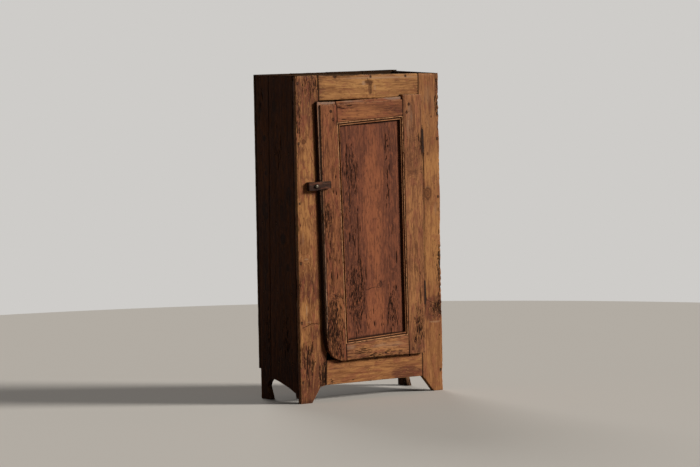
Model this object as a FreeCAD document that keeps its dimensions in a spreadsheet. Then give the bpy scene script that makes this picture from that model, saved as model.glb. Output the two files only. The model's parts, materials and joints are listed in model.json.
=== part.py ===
import FreeCAD, Part
import math
import os
import Sketcher

# A jelly cupboard: a nailed pine carcase with a face frame, and a lapped, framed door
# held shut by a wooden turn button.
#
# Millimetres, +Z up, the front towards -Y. The origin is on the floor, under the middle of
# the whole cupboard. The pieces of the front are drawn in front coordinates: x from the
# cupboard's left edge, z from the floor, and proud, the distance out from the face frame's
# front. Side boards are drawn with y from the face frame's front and z from the floor.

SIZES = {
    # Carcase
    "cupboard_width": 665,
    "cupboard_height": 1220,
    "cupboard_depth": 278,
    "side_thickness": 20,
    "side_seam_top": 176,
    "side_seam_bottom": 198,
    "side_seam_gap": 0.8,
    "side_rise_left": 3,
    "side_rise_right": 10,
    "top_thickness": 20,
    "back_thickness": 13,
    "back_floor_gap": 114,
    "back_seam_gap": 1,
    "back_rise_least": 7,
    "back_rise_step": 2.5,
    # Cut-out at the foot of each side
    "rear_foot_floor": 64,
    "rear_foot_waist": 44,
    "rear_foot_waist_height": 49,
    "arch_peak_from_rear": 91,
    "arch_peak_height": 79,
    "arch_rear_radius": 36,
    "arch_slope_radius": 650,
    "arch_front_end": 36,
    "arch_front_height": 37,
    "side_toe_width": 12,
    "side_toe_lift": 18,
    # Shelves and battens
    "shelf_thickness": 18,
    "batten_height": 22,
    "batten_width": 17,
    "batten_end_gap": 4,
    # Face frame
    "frame_thickness": 20,
    "stile_left_top": 101,
    "stile_left_sill": 120,
    "stile_left_low": 115,
    "stile_left_foot_top": 90,
    "stile_left_foot": 51,
    "foot_step": 5,
    "stile_right_width": 97,
    "stile_right_foot": 44,
    "top_rail_left": 95,
    "top_rail_right": 88,
    "sill_height": 155,
    "bottom_rail_lift": 62,
    "frame_tenon_length": 32,
    "frame_tenon_thickness": 7,
    "frame_tenon_shoulder": 14,
    # Door
    "door_gap": 1.5,
    "door_thickness": 18.5,
    "door_lap_top": 15,
    "door_lap_bottom": 10,
    "door_drop_left": 5,
    "door_rise_right": 8,
    "sill_lap_left": 5,
    "sill_lap_right": 2,
    "door_corner_radius": 80,
    "lock_stile_top": 85,
    "lock_stile_bottom": 88,
    "hinge_stile_top": 90,
    "hinge_stile_bottom": 77,
    "hinge_stile_horn": 7,
    "door_top_rail_left": 78,
    "door_top_rail_right": 73,
    "door_bottom_rail_left": 61,
    "door_bottom_rail_right": 73,
    "lip_width": 11,
    "lip_width_low": 3,
    "lip_end_height": 240,
    "lip_depth": 6,
    "groove_depth": 6,
    "panel_thickness": 5,
    "panel_inset": 1.5,
    "moulding_width": 14,
    "moulding_height": 9.3,
    "bead_width": 6,
    "bead_height": 1.2,
    "door_tenon_length": 40,
    "door_tenon_shoulder": 14,
    "tenon_from_panel": 2,
    "peg_width": 6.5,
    "peg_proud": 0.3,
    "near_peg_from_joint": 18,
    "far_peg_from_joint": 28,
    "peg_from_tenon_edge": 4.5,
    "peg_pitch": 30,
    # Hinges
    "hinge_height": 88,
    "hinge_below_door_top": 179,
    "hinge_above_door_bottom": 230,
    "leaf_thickness": 1.6,
    "leaf_depth": 17,
    "leaf_gap": 0.3,
    "leaf_setback": 1,
    "barrel_radius": 4,
    "barrel_proud": 13,
    "knuckle_gap": 0.3,
    "knuckle_web": 6,
    "hinge_pin_radius": 2,
    "hinge_pin_clearance": 0.05,
    "hinge_pin_head_radius": 3.2,
    "hinge_pin_head_height": 1.6,
    "screw_radius": 1.7,
    "screw_head_radius": 3.2,
    "screw_length": 22,
    "screw_hole_clearance": 0.1,
    "screw_from_leaf_end": 14,
    "screw_from_barrel": 1,
    "frame_screw_setback": 9.4,
    # Turn button
    "button_pivot_from_left": 72,
    "button_pivot_height": 808,
    "button_tail": 30,
    "button_reach": 60,
    "button_half_height": 16,
    "button_tip_low": 9,
    "button_tip_high": 18,
    "button_stile_gap": 0.3,
    "button_door_gap": 1,
    "button_tail_proud": 18,
    "button_tip_proud": 33,
    "pivot_screw_radius": 2.4,
    "pivot_head_radius": 4.8,
    "pivot_head_height": 2.6,
    "pivot_screw_length": 30,
    "pivot_clearance": 0.3,
    # Cut nails
    "nail_width": 2.6,
    "nail_head_width": 5,
    "nail_head_thickness": 1.2,
    "nail_head_proud": 0.4,
    "nail_from_edge": 30,
    "rail_nail_from_stile": 60,
    "frame_nail_length": 46,
    "side_nail_length": 44,
    "back_nail_length": 34,
    "batten_nail_length": 32,
}

SHELF_COUNT = 3
BACK_BOARD_COUNT = 4
KNUCKLE_COUNT = 5
LEAF_SCREW_COUNT = 3
PEG_SIDES = 8
STILE_NAIL_COUNT = 6
RAIL_NAIL_COUNT = 3
SIDE_NAIL_COUNT = 3

doc = FreeCAD.newDocument("jelly_cupboard")
sheet = doc.addObject("Spreadsheet::Sheet", "Sizes")
for row, (alias, millimetres) in enumerate(SIZES.items(), start=1):
    sheet.set("A%d" % row, alias)
    sheet.set("B%d" % row, str(millimetres))
    sheet.setAlias("B%d" % row, alias)
doc.recompute()


class Size:
    """A length with its expression for the document and its present value."""

    def __init__(self, text, value):
        self.text = text
        self.value = value

    @staticmethod
    def of(number):
        return number if isinstance(number, Size) else Size(repr(float(number)), float(number))

    def combine(self, other, sign, value):
        return Size("(%s %s %s)" % (self.text, sign, other.text), value)

    def __add__(self, other):
        other = Size.of(other)
        return self.combine(other, "+", self.value + other.value)

    def __sub__(self, other):
        other = Size.of(other)
        return self.combine(other, "-", self.value - other.value)

    def __mul__(self, other):
        other = Size.of(other)
        return self.combine(other, "*", self.value * other.value)

    def __truediv__(self, other):
        other = Size.of(other)
        return self.combine(other, "/", self.value / other.value)

    def __radd__(self, other):
        return Size.of(other) + self

    def __rsub__(self, other):
        return Size.of(other) - self

    def __rmul__(self, other):
        return Size.of(other) * self


class Sheet:
    """The named sizes of the spreadsheet, as attributes."""

    def __getattr__(self, alias):
        return Size("Sizes." + alias, float(sheet.get(alias)))


s = Sheet()
subparts = []


def bind(piece, prop, size):
    piece.setExpression(prop, Size.of(size).text)


def place(piece, corner):
    for axis, size in zip("xyz", corner):
        bind(piece, "Placement.Base." + axis, size)


def subpart(piece, node):
    """Name a finished piece, which is written to a file of its own."""
    piece.Label = node
    subparts.append(piece)
    return piece


def between(start, end, share):
    return start + (end - start) * share


def spread(low, high, count):
    """Places spaced evenly from low to high."""
    return [low + (high - low) * index / (count - 1) for index in range(count)]


# The cupboard's own planes and lines

front = (s.button_tip_proud - s.cupboard_depth - s.nail_head_proud) / 2
left = s.cupboard_width / -2.0
right = s.cupboard_width / 2
side_rear = s.cupboard_depth - s.back_thickness
inner_width = s.cupboard_width - 2 * s.side_thickness
inner_depth = side_rear - s.frame_thickness
front_corner = (left, front, 0)
hinge_edge = s.cupboard_width - s.stile_right_width


def proud(distance):
    """The y of a plane that stands out from the face frame's front."""
    return front - distance


def stile_left_edge(height):
    """The left stile's inner edge above the sill, which leans a little."""
    share = (s.cupboard_height - height) / (s.cupboard_height - s.sill_height)
    return between(s.stile_left_top, s.stile_left_sill, share)


# Ways of making a piece


def box(name, corner, lengths):
    piece = doc.addObject("Part::Box", name)
    for prop, size in zip(("Length", "Width", "Height"), lengths):
        bind(piece, prop, size)
    place(piece, corner)
    return piece


def cylinder(name, base, radius, height):
    piece = doc.addObject("Part::Cylinder", name)
    bind(piece, "Radius", radius)
    bind(piece, "Height", height)
    place(piece, base)
    return piece


def fuse(name, pieces):
    joined = doc.addObject("Part::MultiFuse", name)
    joined.Shapes = pieces
    return joined


def cut(piece, tools, node):
    """Take the tools out of a piece one after another, and call the last result node."""
    for number, tool in enumerate(tools, start=1):
        result = doc.addObject("Part::Cut", "%s_cut_%d" % (node, number))
        result.Base = piece
        result.Tool = tool
        piece = result
    return subpart(piece, node)


def arc_between(start, end, radius):
    """The arc from start to end, turning left for a positive radius, and its centre."""
    chord = end - start
    middle = (start + end) * 0.5
    sideways = FreeCAD.Vector(-chord.y, chord.x, 0).normalize()
    offset = math.sqrt(radius * radius - chord.Length * chord.Length / 4)
    centre = middle + sideways * math.copysign(offset, radius)
    circle = Part.Circle(centre, FreeCAD.Vector(0, 0, 1), abs(radius))
    first, last = (start, end) if radius > 0 else (end, start)
    angles = [math.atan2(point.y - centre.y, point.x - centre.x) for point in (first, last)]
    return Part.ArcOfCircle(circle, angles[0], angles[1])


def draw_outline(sketch, corners):
    """Close an outline through corners. A third number makes the edge that leaves a corner
    an arc of that radius, and a negative one turns it clockwise."""
    points = [FreeCAD.Vector(Size.of(c[0]).value, Size.of(c[1]).value, 0) for c in corners]
    ends = []
    for index, corner in enumerate(corners):
        start = points[index]
        end = points[(index + 1) % len(points)]
        if len(corner) == 2:
            edge = sketch.addGeometry(Part.LineSegment(start, end), False)
            ends.append((edge, 1, 2))
            continue
        radius = Size.of(corner[2])
        edge = sketch.addGeometry(arc_between(start, end, radius.value), False)
        size = radius if radius.value > 0 else 0 - radius
        number = sketch.addConstraint(Sketcher.Constraint("Radius", edge, size.value))
        sketch.setExpression("Constraints[%d]" % number, size.text)
        ends.append((edge, 1, 2) if radius.value > 0 else (edge, 2, 1))
    for index, (edge, start, end) in enumerate(ends):
        following, first, _ = ends[(index + 1) % len(ends)]
        sketch.addConstraint(Sketcher.Constraint("Coincident", edge, end, following, first))
        for kind, axis, size in zip(("DistanceX", "DistanceY"), (-2, -1), corners[index][:2]):
            size = Size.of(size)
            if size.value == 0:
                sketch.addConstraint(Sketcher.Constraint("PointOnObject", edge, start, axis))
                continue
            rule = Sketcher.Constraint(kind, -1, 1, edge, start, size.value)
            number = sketch.addConstraint(rule)
            sketch.setExpression("Constraints[%d]" % number, size.text)


def sketch_on(body, plane, name, corners):
    sketch = body.newObject("Sketcher::SketchObject", name)
    support = [item for item in body.Origin.OriginFeatures if item.Role == plane][0]
    sketch.AttachmentSupport = [(support, "")]
    sketch.MapMode = "FlatFace"
    draw_outline(sketch, corners)
    return sketch


def board(name, plane, corners, thickness, corner, forwards=True):
    """A board of an outline, padded along +X from a YZ plane or to the front from an XZ one."""
    body = doc.addObject("PartDesign::Body", name)
    pad = body.newObject("PartDesign::Pad", name + "_pad")
    pad.Profile = sketch_on(body, plane, name + "_outline", corners)
    bind(pad, "Length", thickness)
    pad.Reversed = not forwards
    body.Tip = pad
    place(body, corner)
    return body


def frame_board(name, corners):
    """A board of the face frame, its back against the carcase."""
    return board(name, "XZ_Plane", corners, s.frame_thickness, front_corner, forwards=False)


def door_board(name, corners):
    """A board of the door, its back just clear of the face frame."""
    corner = (left, proud(s.door_gap), 0)
    return board(name, "XZ_Plane", corners, s.door_thickness, corner)


def group(name, shapes):
    """Separate solids that are one kind of fastener."""
    piece = doc.addObject("Part::Feature", name)
    piece.Shape = Part.makeCompound(shapes)
    return piece


# Sides: two boards each, with one cut-out across both at the foot

arch = [
    (s.frame_thickness, 0),
    (side_rear - s.rear_foot_floor, 0),
    (side_rear - s.rear_foot_waist, s.rear_foot_waist_height, s.arch_rear_radius),
    (side_rear - s.arch_peak_from_rear, s.arch_peak_height, s.arch_slope_radius),
    (s.arch_front_end, s.arch_front_height),
    (s.frame_thickness + s.side_toe_width, s.side_toe_lift),
    (s.frame_thickness, s.side_toe_lift),
]


def side_board(name, x, rise, front_bottom, front_top, rear_bottom, rear_top):
    corners = [
        (front_bottom, 0),
        (rear_bottom, 0),
        (rear_top, side_top(rear_top, rise)),
        (front_top, side_top(front_top, rise)),
    ]
    body = board(name, "YZ_Plane", corners, s.side_thickness, (x, front, 0))
    pocket = body.newObject("PartDesign::Pocket", name + "_arch")
    pocket.Profile = sketch_on(body, "YZ_Plane", name + "_arch_outline", arch)
    bind(pocket, "Length", s.side_thickness)
    pocket.Reversed = True
    body.Tip = pocket
    return body


def side_top(y, rise):
    """The top of a side, which rises from the face frame to the back."""
    return s.cupboard_height + rise * (y - s.frame_thickness) / (side_rear - s.frame_thickness)


def side_boards(side, x, rise):
    half_gap = s.side_seam_gap / 2
    front_board = side_board(
        "side_%s_front_blank" % side, x, rise,
        s.frame_thickness, s.frame_thickness,
        s.side_seam_bottom - half_gap, s.side_seam_top - half_gap)
    rear_board = side_board(
        "side_%s_rear_blank" % side, x, rise,
        s.side_seam_bottom + half_gap, s.side_seam_top + half_gap,
        side_rear, side_rear)
    return front_board, rear_board


side_blanks = {
    "left": side_boards("left", left, s.side_rise_left),
    "right": side_boards("right", right - s.side_thickness, s.side_rise_right),
}

# Shelves, the bottom and top boards, and the battens that carry the shelves

carcase_back = front + s.frame_thickness
shelf_tops = []
bay = (s.cupboard_height - s.top_thickness - s.sill_height) / (SHELF_COUNT + 1)
for number in range(SHELF_COUNT + 1):
    shelf_tops.append(s.sill_height + bay * number)
shelf_nodes = ["bottom_board", "shelf_lower", "shelf_middle", "shelf_upper"]


def level_board(name, top, thickness):
    corner = (left + s.side_thickness, carcase_back, top - thickness)
    return box(name, corner, (inner_width, inner_depth, thickness))


shelf_blanks = []
for node, top in zip(shelf_nodes, shelf_tops):
    shelf_blanks.append(level_board(node + "_blank", top, s.shelf_thickness))
top_blank = level_board("top_board_blank", s.cupboard_height, s.top_thickness)


def batten(side, number, top):
    x = left + s.side_thickness if side == "left" else right - s.side_thickness - s.batten_width
    z = top - s.shelf_thickness - s.batten_height
    lengths = (s.batten_width, inner_depth - 2 * s.batten_end_gap, s.batten_height)
    return box("batten_%s_%d_blank" % (side, number), (x, carcase_back + s.batten_end_gap, z), lengths)


batten_blanks = {}
for side in ("left", "right"):
    for number, top in enumerate(shelf_tops, start=1):
        batten_blanks[side, number] = batten(side, number, top)

# Back boards: vertical, nailed over the rear edges of the sides, their tops uneven

back_width = (s.cupboard_width - s.back_seam_gap * (BACK_BOARD_COUNT - 1)) / BACK_BOARD_COUNT
back_blanks = []
for number in range(BACK_BOARD_COUNT):
    rise = s.back_rise_least + s.back_rise_step * number
    corner = (left + (back_width + s.back_seam_gap) * number, front + side_rear, s.back_floor_gap)
    lengths = (back_width, s.back_thickness, s.cupboard_height - s.back_floor_gap + rise)
    back_blanks.append(box("back_board_%d_blank" % (number + 1), corner, lengths))

# Face frame: the stiles run to the floor as feet, and the rails are tenoned between them

opening_top_left = s.cupboard_height - s.top_rail_left
opening_top_right = s.cupboard_height - s.top_rail_right

stile_left_blank = frame_board("stile_left_blank", [
    (0, 0),
    (s.stile_left_foot, 0),
    (s.stile_left_foot_top, s.bottom_rail_lift - s.foot_step),
    (s.stile_left_low, s.bottom_rail_lift),
    (s.stile_left_sill, s.sill_height),
    (s.stile_left_top, s.cupboard_height),
    (0, s.cupboard_height),
])
stile_right_blank = frame_board("stile_right_blank", [
    (s.cupboard_width - s.stile_right_foot, 0),
    (s.cupboard_width, 0),
    (s.cupboard_width, s.cupboard_height),
    (hinge_edge, s.cupboard_height),
    (hinge_edge, s.bottom_rail_lift),
])
rail_top_blank = frame_board("frame_rail_top_blank", [
    (stile_left_edge(opening_top_left), opening_top_left),
    (hinge_edge, opening_top_right),
    (hinge_edge, s.cupboard_height),
    (s.stile_left_top, s.cupboard_height),
])
rail_bottom_blank = frame_board("frame_rail_bottom_blank", [
    (s.stile_left_low, s.bottom_rail_lift),
    (hinge_edge, s.bottom_rail_lift),
    (hinge_edge, s.sill_height),
    (s.stile_left_sill, s.sill_height),
])


def frame_tenon(name, joint, way, low, high):
    """A tenon that runs into a stile from its joint, to the left for a way of -1."""
    root = s.frame_tenon_shoulder
    start = joint - s.frame_tenon_length if way < 0 else joint - root
    depth = front + (s.frame_thickness - s.frame_tenon_thickness) / 2
    lengths = (s.frame_tenon_length + root, s.frame_tenon_thickness, high - low)
    return box(name, (left + start, depth, low), lengths)


top_tenon_low = opening_top_right + s.frame_tenon_shoulder
top_tenon_high = s.cupboard_height - s.frame_tenon_shoulder
bottom_tenon_low = s.bottom_rail_lift + s.frame_tenon_shoulder
bottom_tenon_high = s.sill_height - s.frame_tenon_shoulder
tenon_top_left = frame_tenon("tenon_top_left", s.stile_left_top, -1, top_tenon_low, top_tenon_high)
tenon_top_right = frame_tenon("tenon_top_right", hinge_edge, 1, top_tenon_low, top_tenon_high)
tenon_bottom_left = frame_tenon(
    "tenon_bottom_left", s.stile_left_low, -1, bottom_tenon_low, bottom_tenon_high)
tenon_bottom_right = frame_tenon(
    "tenon_bottom_right", hinge_edge, 1, bottom_tenon_low, bottom_tenon_high)
rail_top_tenoned = fuse("frame_rail_top_tenoned", [rail_top_blank, tenon_top_left, tenon_top_right])
rail_bottom_tenoned = fuse(
    "frame_rail_bottom_tenoned", [rail_bottom_blank, tenon_bottom_left, tenon_bottom_right])

# Door: a little out of square, with its rails sloping down to the lock side

door_left_top = s.stile_left_top - s.door_lap_top
door_left_bottom = s.stile_left_sill - s.door_lap_bottom
door_top_left = opening_top_left - s.door_drop_left
door_top_right = opening_top_right + s.door_rise_right
door_bottom_left = s.sill_height - s.sill_lap_left
door_bottom_right = s.sill_height - s.sill_lap_right
rail_top_right = door_top_right - s.hinge_stile_horn
joint_left_top = door_left_top + s.lock_stile_top
joint_left_bottom = door_left_bottom + s.lock_stile_bottom
joint_right_top = hinge_edge - s.hinge_stile_top
joint_right_bottom = hinge_edge - s.hinge_stile_bottom
sight_top_left = door_top_left - s.door_top_rail_left
sight_top_right = rail_top_right - s.door_top_rail_right
sight_bottom_left = door_bottom_left + s.door_bottom_rail_left
sight_bottom_right = door_bottom_right + s.door_bottom_rail_right


def lock_edge(height):
    """The door's lock edge, which leans with the face frame's opening."""
    share = (door_top_left - height) / (door_top_left - door_bottom_left)
    return between(door_left_top, door_left_bottom, share)


def lock_joint(height):
    """The joint line between the lock stile and the rails."""
    share = (door_top_left - height) / (door_top_left - door_bottom_left)
    return between(joint_left_top, joint_left_bottom, share)


def hinge_joint(height):
    """The joint line between the hinge stile and the rails."""
    share = (door_top_right - height) / (door_top_right - door_bottom_right)
    return between(joint_right_top, joint_right_bottom, share)


sight = {
    "top_left": (lock_joint(sight_top_left), sight_top_left),
    "top_right": (hinge_joint(sight_top_right), sight_top_right),
    "bottom_right": (hinge_joint(sight_bottom_right), sight_bottom_right),
    "bottom_left": (lock_joint(sight_bottom_left), sight_bottom_left),
}
CORNER_WAYS = {"top_left": (1, -1), "top_right": (-1, -1), "bottom_right": (-1, 1), "bottom_left": (1, 1)}


def sight_corner(corner, inwards):
    """A corner of the door's sight line, moved in over the panel, or out for a minus size."""
    x, z = sight[corner]
    way_x, way_z = CORNER_WAYS[corner]
    return (x + inwards * way_x, z + inwards * way_z)


door_stile_lock_blank = door_board("door_stile_lock_blank", [
    (door_left_bottom, door_bottom_left + s.door_corner_radius, s.door_corner_radius),
    (door_left_bottom + s.door_corner_radius, door_bottom_left),
    (joint_left_bottom, door_bottom_left),
    (joint_left_top, door_top_left),
    (door_left_top, door_top_left),
])
door_stile_hinge_blank = door_board("door_stile_hinge_blank", [
    (joint_right_bottom, door_bottom_right),
    (hinge_edge, door_bottom_right),
    (hinge_edge, door_top_right),
    (joint_right_top, door_top_right),
])
door_rail_top_blank = door_board("door_rail_top_blank", [
    sight["top_left"],
    sight["top_right"],
    (hinge_joint(rail_top_right), rail_top_right),
    (joint_left_top, door_top_left),
])
door_rail_bottom_blank = door_board("door_rail_bottom_blank", [
    (joint_left_bottom, door_bottom_left),
    (joint_right_bottom, door_bottom_right),
    sight["bottom_right"],
    sight["bottom_left"],
])

# The lip: a rebate in the door's face along its top rail and its lock edge, where it
# narrows downwards and ends above the rounded corner

lip_end = lock_edge(s.lip_end_height)
lip_rebate = board("lip_rebate", "XZ_Plane", [
    (lip_end - s.lip_width, s.lip_end_height),
    (lip_end + s.lip_width_low, s.lip_end_height),
    (door_left_top + s.lip_width, door_top_left - s.lip_width),
    (joint_left_top, door_top_left - s.lip_width),
    (joint_right_bottom, rail_top_right - s.lip_width),
    (joint_right_bottom, rail_top_right + s.lip_width),
    (door_left_top - s.lip_width, door_top_left + s.lip_width),
], s.lip_depth, (left, proud(s.door_gap + s.door_thickness - s.lip_depth), 0))

# Panel, held in grooves in the four members, and the mitred mouldings planted round it

panel_back = s.door_gap + s.panel_inset
door_panel = board("door_panel", "XZ_Plane", [
    sight_corner("bottom_left", 0 - s.groove_depth),
    sight_corner("bottom_right", 0 - s.groove_depth),
    sight_corner("top_right", 0 - s.groove_depth),
    sight_corner("top_left", 0 - s.groove_depth),
], s.panel_thickness, (left, proud(panel_back), 0))
subpart(door_panel, "door_panel")

MOULDING_ENDS = {
    "moulding_top": ("top_right", "top_left"),
    "moulding_bottom": ("bottom_left", "bottom_right"),
    "moulding_lock_side": ("top_left", "bottom_left"),
    "moulding_hinge_side": ("bottom_right", "top_right"),
}


def moulding_strip(name, ends, width, back, height):
    """A mitred strip along one edge of the sight opening."""
    first, last = ends
    corners = [
        sight_corner(first, 0),
        sight_corner(last, 0),
        sight_corner(last, width),
        sight_corner(first, width),
    ]
    return board(name, "XZ_Plane", corners, height, (left, proud(back), 0))


for node, ends in MOULDING_ENDS.items():
    panel_face = panel_back + s.panel_thickness
    strip = moulding_strip(node + "_strip", ends, s.moulding_width, panel_face, s.moulding_height)
    bead_back = panel_face + s.moulding_height
    bead = moulding_strip(node + "_bead", ends, s.bead_width, bead_back, s.bead_height)
    subpart(fuse(node + "_planted", [strip, bead]), node)


def door_tenon(name, joint, way, low, high):
    """A tenon in the plane of the panel, as thick as the panel's groove is wide."""
    root = s.door_tenon_shoulder
    start = joint - s.door_tenon_length if way < 0 else joint - root
    lengths = (s.door_tenon_length + root, s.panel_thickness, high - low)
    return box(name, (left + start, proud(panel_back + s.panel_thickness), low), lengths)


# Each joint of the door: where it is, which way its tenon runs, and the tenon's low and high edge
panel_clearance = s.groove_depth + s.tenon_from_panel
DOOR_JOINTS = {
    "top_left": (joint_left_top, -1, sight_top_left + panel_clearance,
                 door_top_left - s.door_tenon_shoulder),
    "top_right": (joint_right_top, 1, sight_top_right + panel_clearance,
                  rail_top_right - s.door_tenon_shoulder),
    "bottom_left": (joint_left_bottom, -1, door_bottom_left + s.door_tenon_shoulder,
                    sight_bottom_left - panel_clearance),
    "bottom_right": (joint_right_bottom, 1, door_bottom_right + s.door_tenon_shoulder,
                     sight_bottom_right - panel_clearance),
}
door_tenons = {}
for corner, (joint, way, low, high) in DOOR_JOINTS.items():
    door_tenons[corner] = door_tenon("door_tenon_" + corner, joint, way, low, high)
door_rail_top_tenoned = fuse(
    "door_rail_top_tenoned", [door_rail_top_blank, door_tenons["top_left"], door_tenons["top_right"]])
door_rail_bottom_tenoned = fuse(
    "door_rail_bottom_tenoned",
    [door_rail_bottom_blank, door_tenons["bottom_left"], door_tenons["bottom_right"]])

# Draw pegs: two through each joint of the door, whittled to eight sides


def peg(x, z):
    """A peg from just proud of the door's face back through the tenon."""
    turn = 2 * math.pi / PEG_SIDES
    radius = s.peg_width.value / 2 / math.cos(turn / 2)
    face = proud(s.door_gap + s.door_thickness + s.peg_proud).value
    rim = []
    for side in range(PEG_SIDES + 1):
        angle = turn * (side + 0.5)
        rim.append(FreeCAD.Vector(x + radius * math.cos(angle), face, z + radius * math.sin(angle)))
    length = s.door_thickness.value + s.peg_proud.value - s.panel_inset.value
    return Part.Face(Part.makePolygon(rim)).extrude(FreeCAD.Vector(0, length, 0))


def peg_pair(joint, way, low):
    """Two pegs beside a joint: the lower one near it and the upper one farther off."""
    near = left + joint + s.near_peg_from_joint * way
    far = left + joint + s.far_peg_from_joint * way
    lower = low + s.peg_from_tenon_edge
    return [peg(near.value, lower.value), peg(far.value, (lower + s.peg_pitch).value)]


peg_shapes = []
for joint, way, low, _ in DOOR_JOINTS.values():
    peg_shapes += peg_pair(joint, way, low)
door_pegs = subpart(group("door_pegs", peg_shapes), "door_pegs")

# Hinges: an iron leaf on the door's edge, one let into the opening's edge, and a pin

hinge_x = left + hinge_edge + s.leaf_thickness + s.leaf_gap + s.barrel_radius
hinge_y = proud(s.barrel_proud)
frame_leaf_x = left + hinge_edge + s.leaf_thickness + s.leaf_gap
hinge_bottoms = {
    "upper": door_top_right - s.hinge_below_door_top - s.hinge_height / 2,
    "lower": door_bottom_right + s.hinge_above_door_bottom - s.hinge_height / 2,
}
knuckle_pitch = s.hinge_height / KNUCKLE_COUNT
bore_radius = s.hinge_pin_radius + s.hinge_pin_clearance


def knuckles(name, low, numbers, web_corner, web_lengths):
    """The knuckles of one leaf, each with a web that joins it to its plate."""
    pieces = []
    for number in numbers:
        bottom = low + knuckle_pitch * number + s.knuckle_gap / 2
        height = knuckle_pitch - s.knuckle_gap
        label = "%s_%d" % (name, number)
        pieces.append(cylinder(label, (hinge_x, hinge_y, bottom), s.barrel_radius, height))
        corner = (web_corner[0], web_corner[1], bottom)
        pieces.append(box(label + "_web", corner, (web_lengths[0], web_lengths[1], height)))
    return pieces


def leaf_screw(x, y, z, way, clearance):
    """A countersunk wood screw along X, its head flush with its leaf."""
    head = s.screw_head_radius.value + clearance
    shank = s.screw_radius.value + clearance
    cone = s.leaf_thickness.value
    axis = FreeCAD.Vector(way, 0, 0)
    start = FreeCAD.Vector(x, y, z)
    length = s.screw_length.value
    body = Part.makeCone(head, shank, cone, start, axis)
    return body.fuse(Part.makeCylinder(shank, length - cone, start + axis * cone, axis))


frame_screws = []
frame_screw_holes = []
door_screws = []
door_screw_holes = []
frame_leaf_recesses = []
clearance = s.screw_hole_clearance.value

for level, low in hinge_bottoms.items():
    name = "hinge_" + level
    door_plate = box(
        name + "_door_plate",
        (left + hinge_edge, proud(s.door_gap + s.door_thickness - s.leaf_setback), low),
        (s.leaf_thickness, s.leaf_depth, s.hinge_height))
    door_webs = knuckles(
        name + "_door_knuckle", low, range(1, KNUCKLE_COUNT, 2),
        (left + hinge_edge, hinge_y - s.knuckle_web / 2),
        (s.leaf_thickness + s.leaf_gap + s.barrel_radius, s.knuckle_web))
    door_leaf = fuse(name + "_door_leaf_solid", [door_plate] + door_webs)

    frame_plate = box(
        name + "_frame_plate", (frame_leaf_x, front, low),
        (s.leaf_thickness, s.leaf_depth, s.hinge_height))
    frame_arms = knuckles(
        name + "_frame_knuckle", low, range(0, KNUCKLE_COUNT, 2),
        (frame_leaf_x, hinge_y), (s.leaf_thickness, s.barrel_proud))
    frame_leaf = fuse(name + "_frame_leaf_solid", [frame_plate] + frame_arms)

    recess_width = s.leaf_thickness * 2 + s.leaf_gap
    frame_leaf_recesses.append(box(
        name + "_recess", (left + hinge_edge, front, low),
        (recess_width, s.leaf_depth, s.hinge_height)))

    bore = cylinder(name + "_bore", (hinge_x, hinge_y, low), bore_radius, s.hinge_height)
    pin_shank = cylinder(name + "_pin_shank", (hinge_x, hinge_y, low), s.hinge_pin_radius, s.hinge_height)
    pin_head = cylinder(
        name + "_pin_head", (hinge_x, hinge_y, low + s.hinge_height),
        s.hinge_pin_head_radius, s.hinge_pin_head_height)
    subpart(fuse(name + "_pin_solid", [pin_shank, pin_head]), name + "_pin")

    door_holes = []
    frame_holes = []
    door_x = (left + hinge_edge + s.leaf_thickness).value
    door_y = (hinge_y + s.barrel_radius + s.screw_from_barrel + s.screw_head_radius).value
    frame_x = frame_leaf_x.value
    frame_y = (front + s.frame_screw_setback).value
    lowest_screw = (low + s.screw_from_leaf_end).value
    highest_screw = (low + s.hinge_height - s.screw_from_leaf_end).value
    for z in spread(lowest_screw, highest_screw, LEAF_SCREW_COUNT):
        door_screws.append(leaf_screw(door_x, door_y, z, -1, 0))
        door_holes.append(leaf_screw(door_x, door_y, z, -1, clearance))
        frame_screws.append(leaf_screw(frame_x, frame_y, z, 1, 0))
        frame_holes.append(leaf_screw(frame_x, frame_y, z, 1, clearance))
    door_hole_group = group(name + "_door_holes", door_holes)
    frame_hole_group = group(name + "_frame_holes", frame_holes)
    door_screw_holes.append(door_hole_group)
    frame_screw_holes.append(frame_hole_group)
    cut(door_leaf, [bore, door_hole_group], name + "_door_leaf")
    cut(frame_leaf, [bore, frame_hole_group], name + "_frame_leaf")

subpart(group("hinge_door_screws", door_screws), "hinge_door_screws")
subpart(group("hinge_frame_screws", frame_screws), "hinge_frame_screws")

# Turn button: it turns on a screw in the left stile and reaches over the door's edge

pivot_x = left + s.button_pivot_from_left
button_left = s.button_pivot_from_left - s.button_tail
button_right = s.button_pivot_from_left + s.button_reach
tongue_back = s.door_gap + s.door_thickness + s.button_door_gap
pivot_low = s.button_pivot_height - s.button_half_height
pivot_high = s.button_pivot_height + s.button_half_height

button_base = board("button_base", "XZ_Plane", [
    (button_left, pivot_low),
    (s.button_pivot_from_left, pivot_low, s.button_half_height),
    (s.button_pivot_from_left + s.button_half_height, s.button_pivot_height, s.button_half_height),
    (s.button_pivot_from_left, pivot_high),
    (button_left, pivot_high),
], tongue_back - s.button_stile_gap, (left, proud(s.button_stile_gap), 0))
button_tongue = board("button_tongue", "XZ_Plane", [
    (button_left, pivot_low),
    (s.button_pivot_from_left, pivot_low),
    (button_right, s.button_pivot_height - s.button_tip_low),
    (button_right, s.button_pivot_height + s.button_tip_high),
    (s.button_pivot_from_left, pivot_high),
    (button_left, pivot_high),
], s.button_tip_proud - tongue_back, (left, proud(tongue_back), 0))

# Its face slopes from the tail up to the tip: this wedge is what lies behind the face

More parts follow.
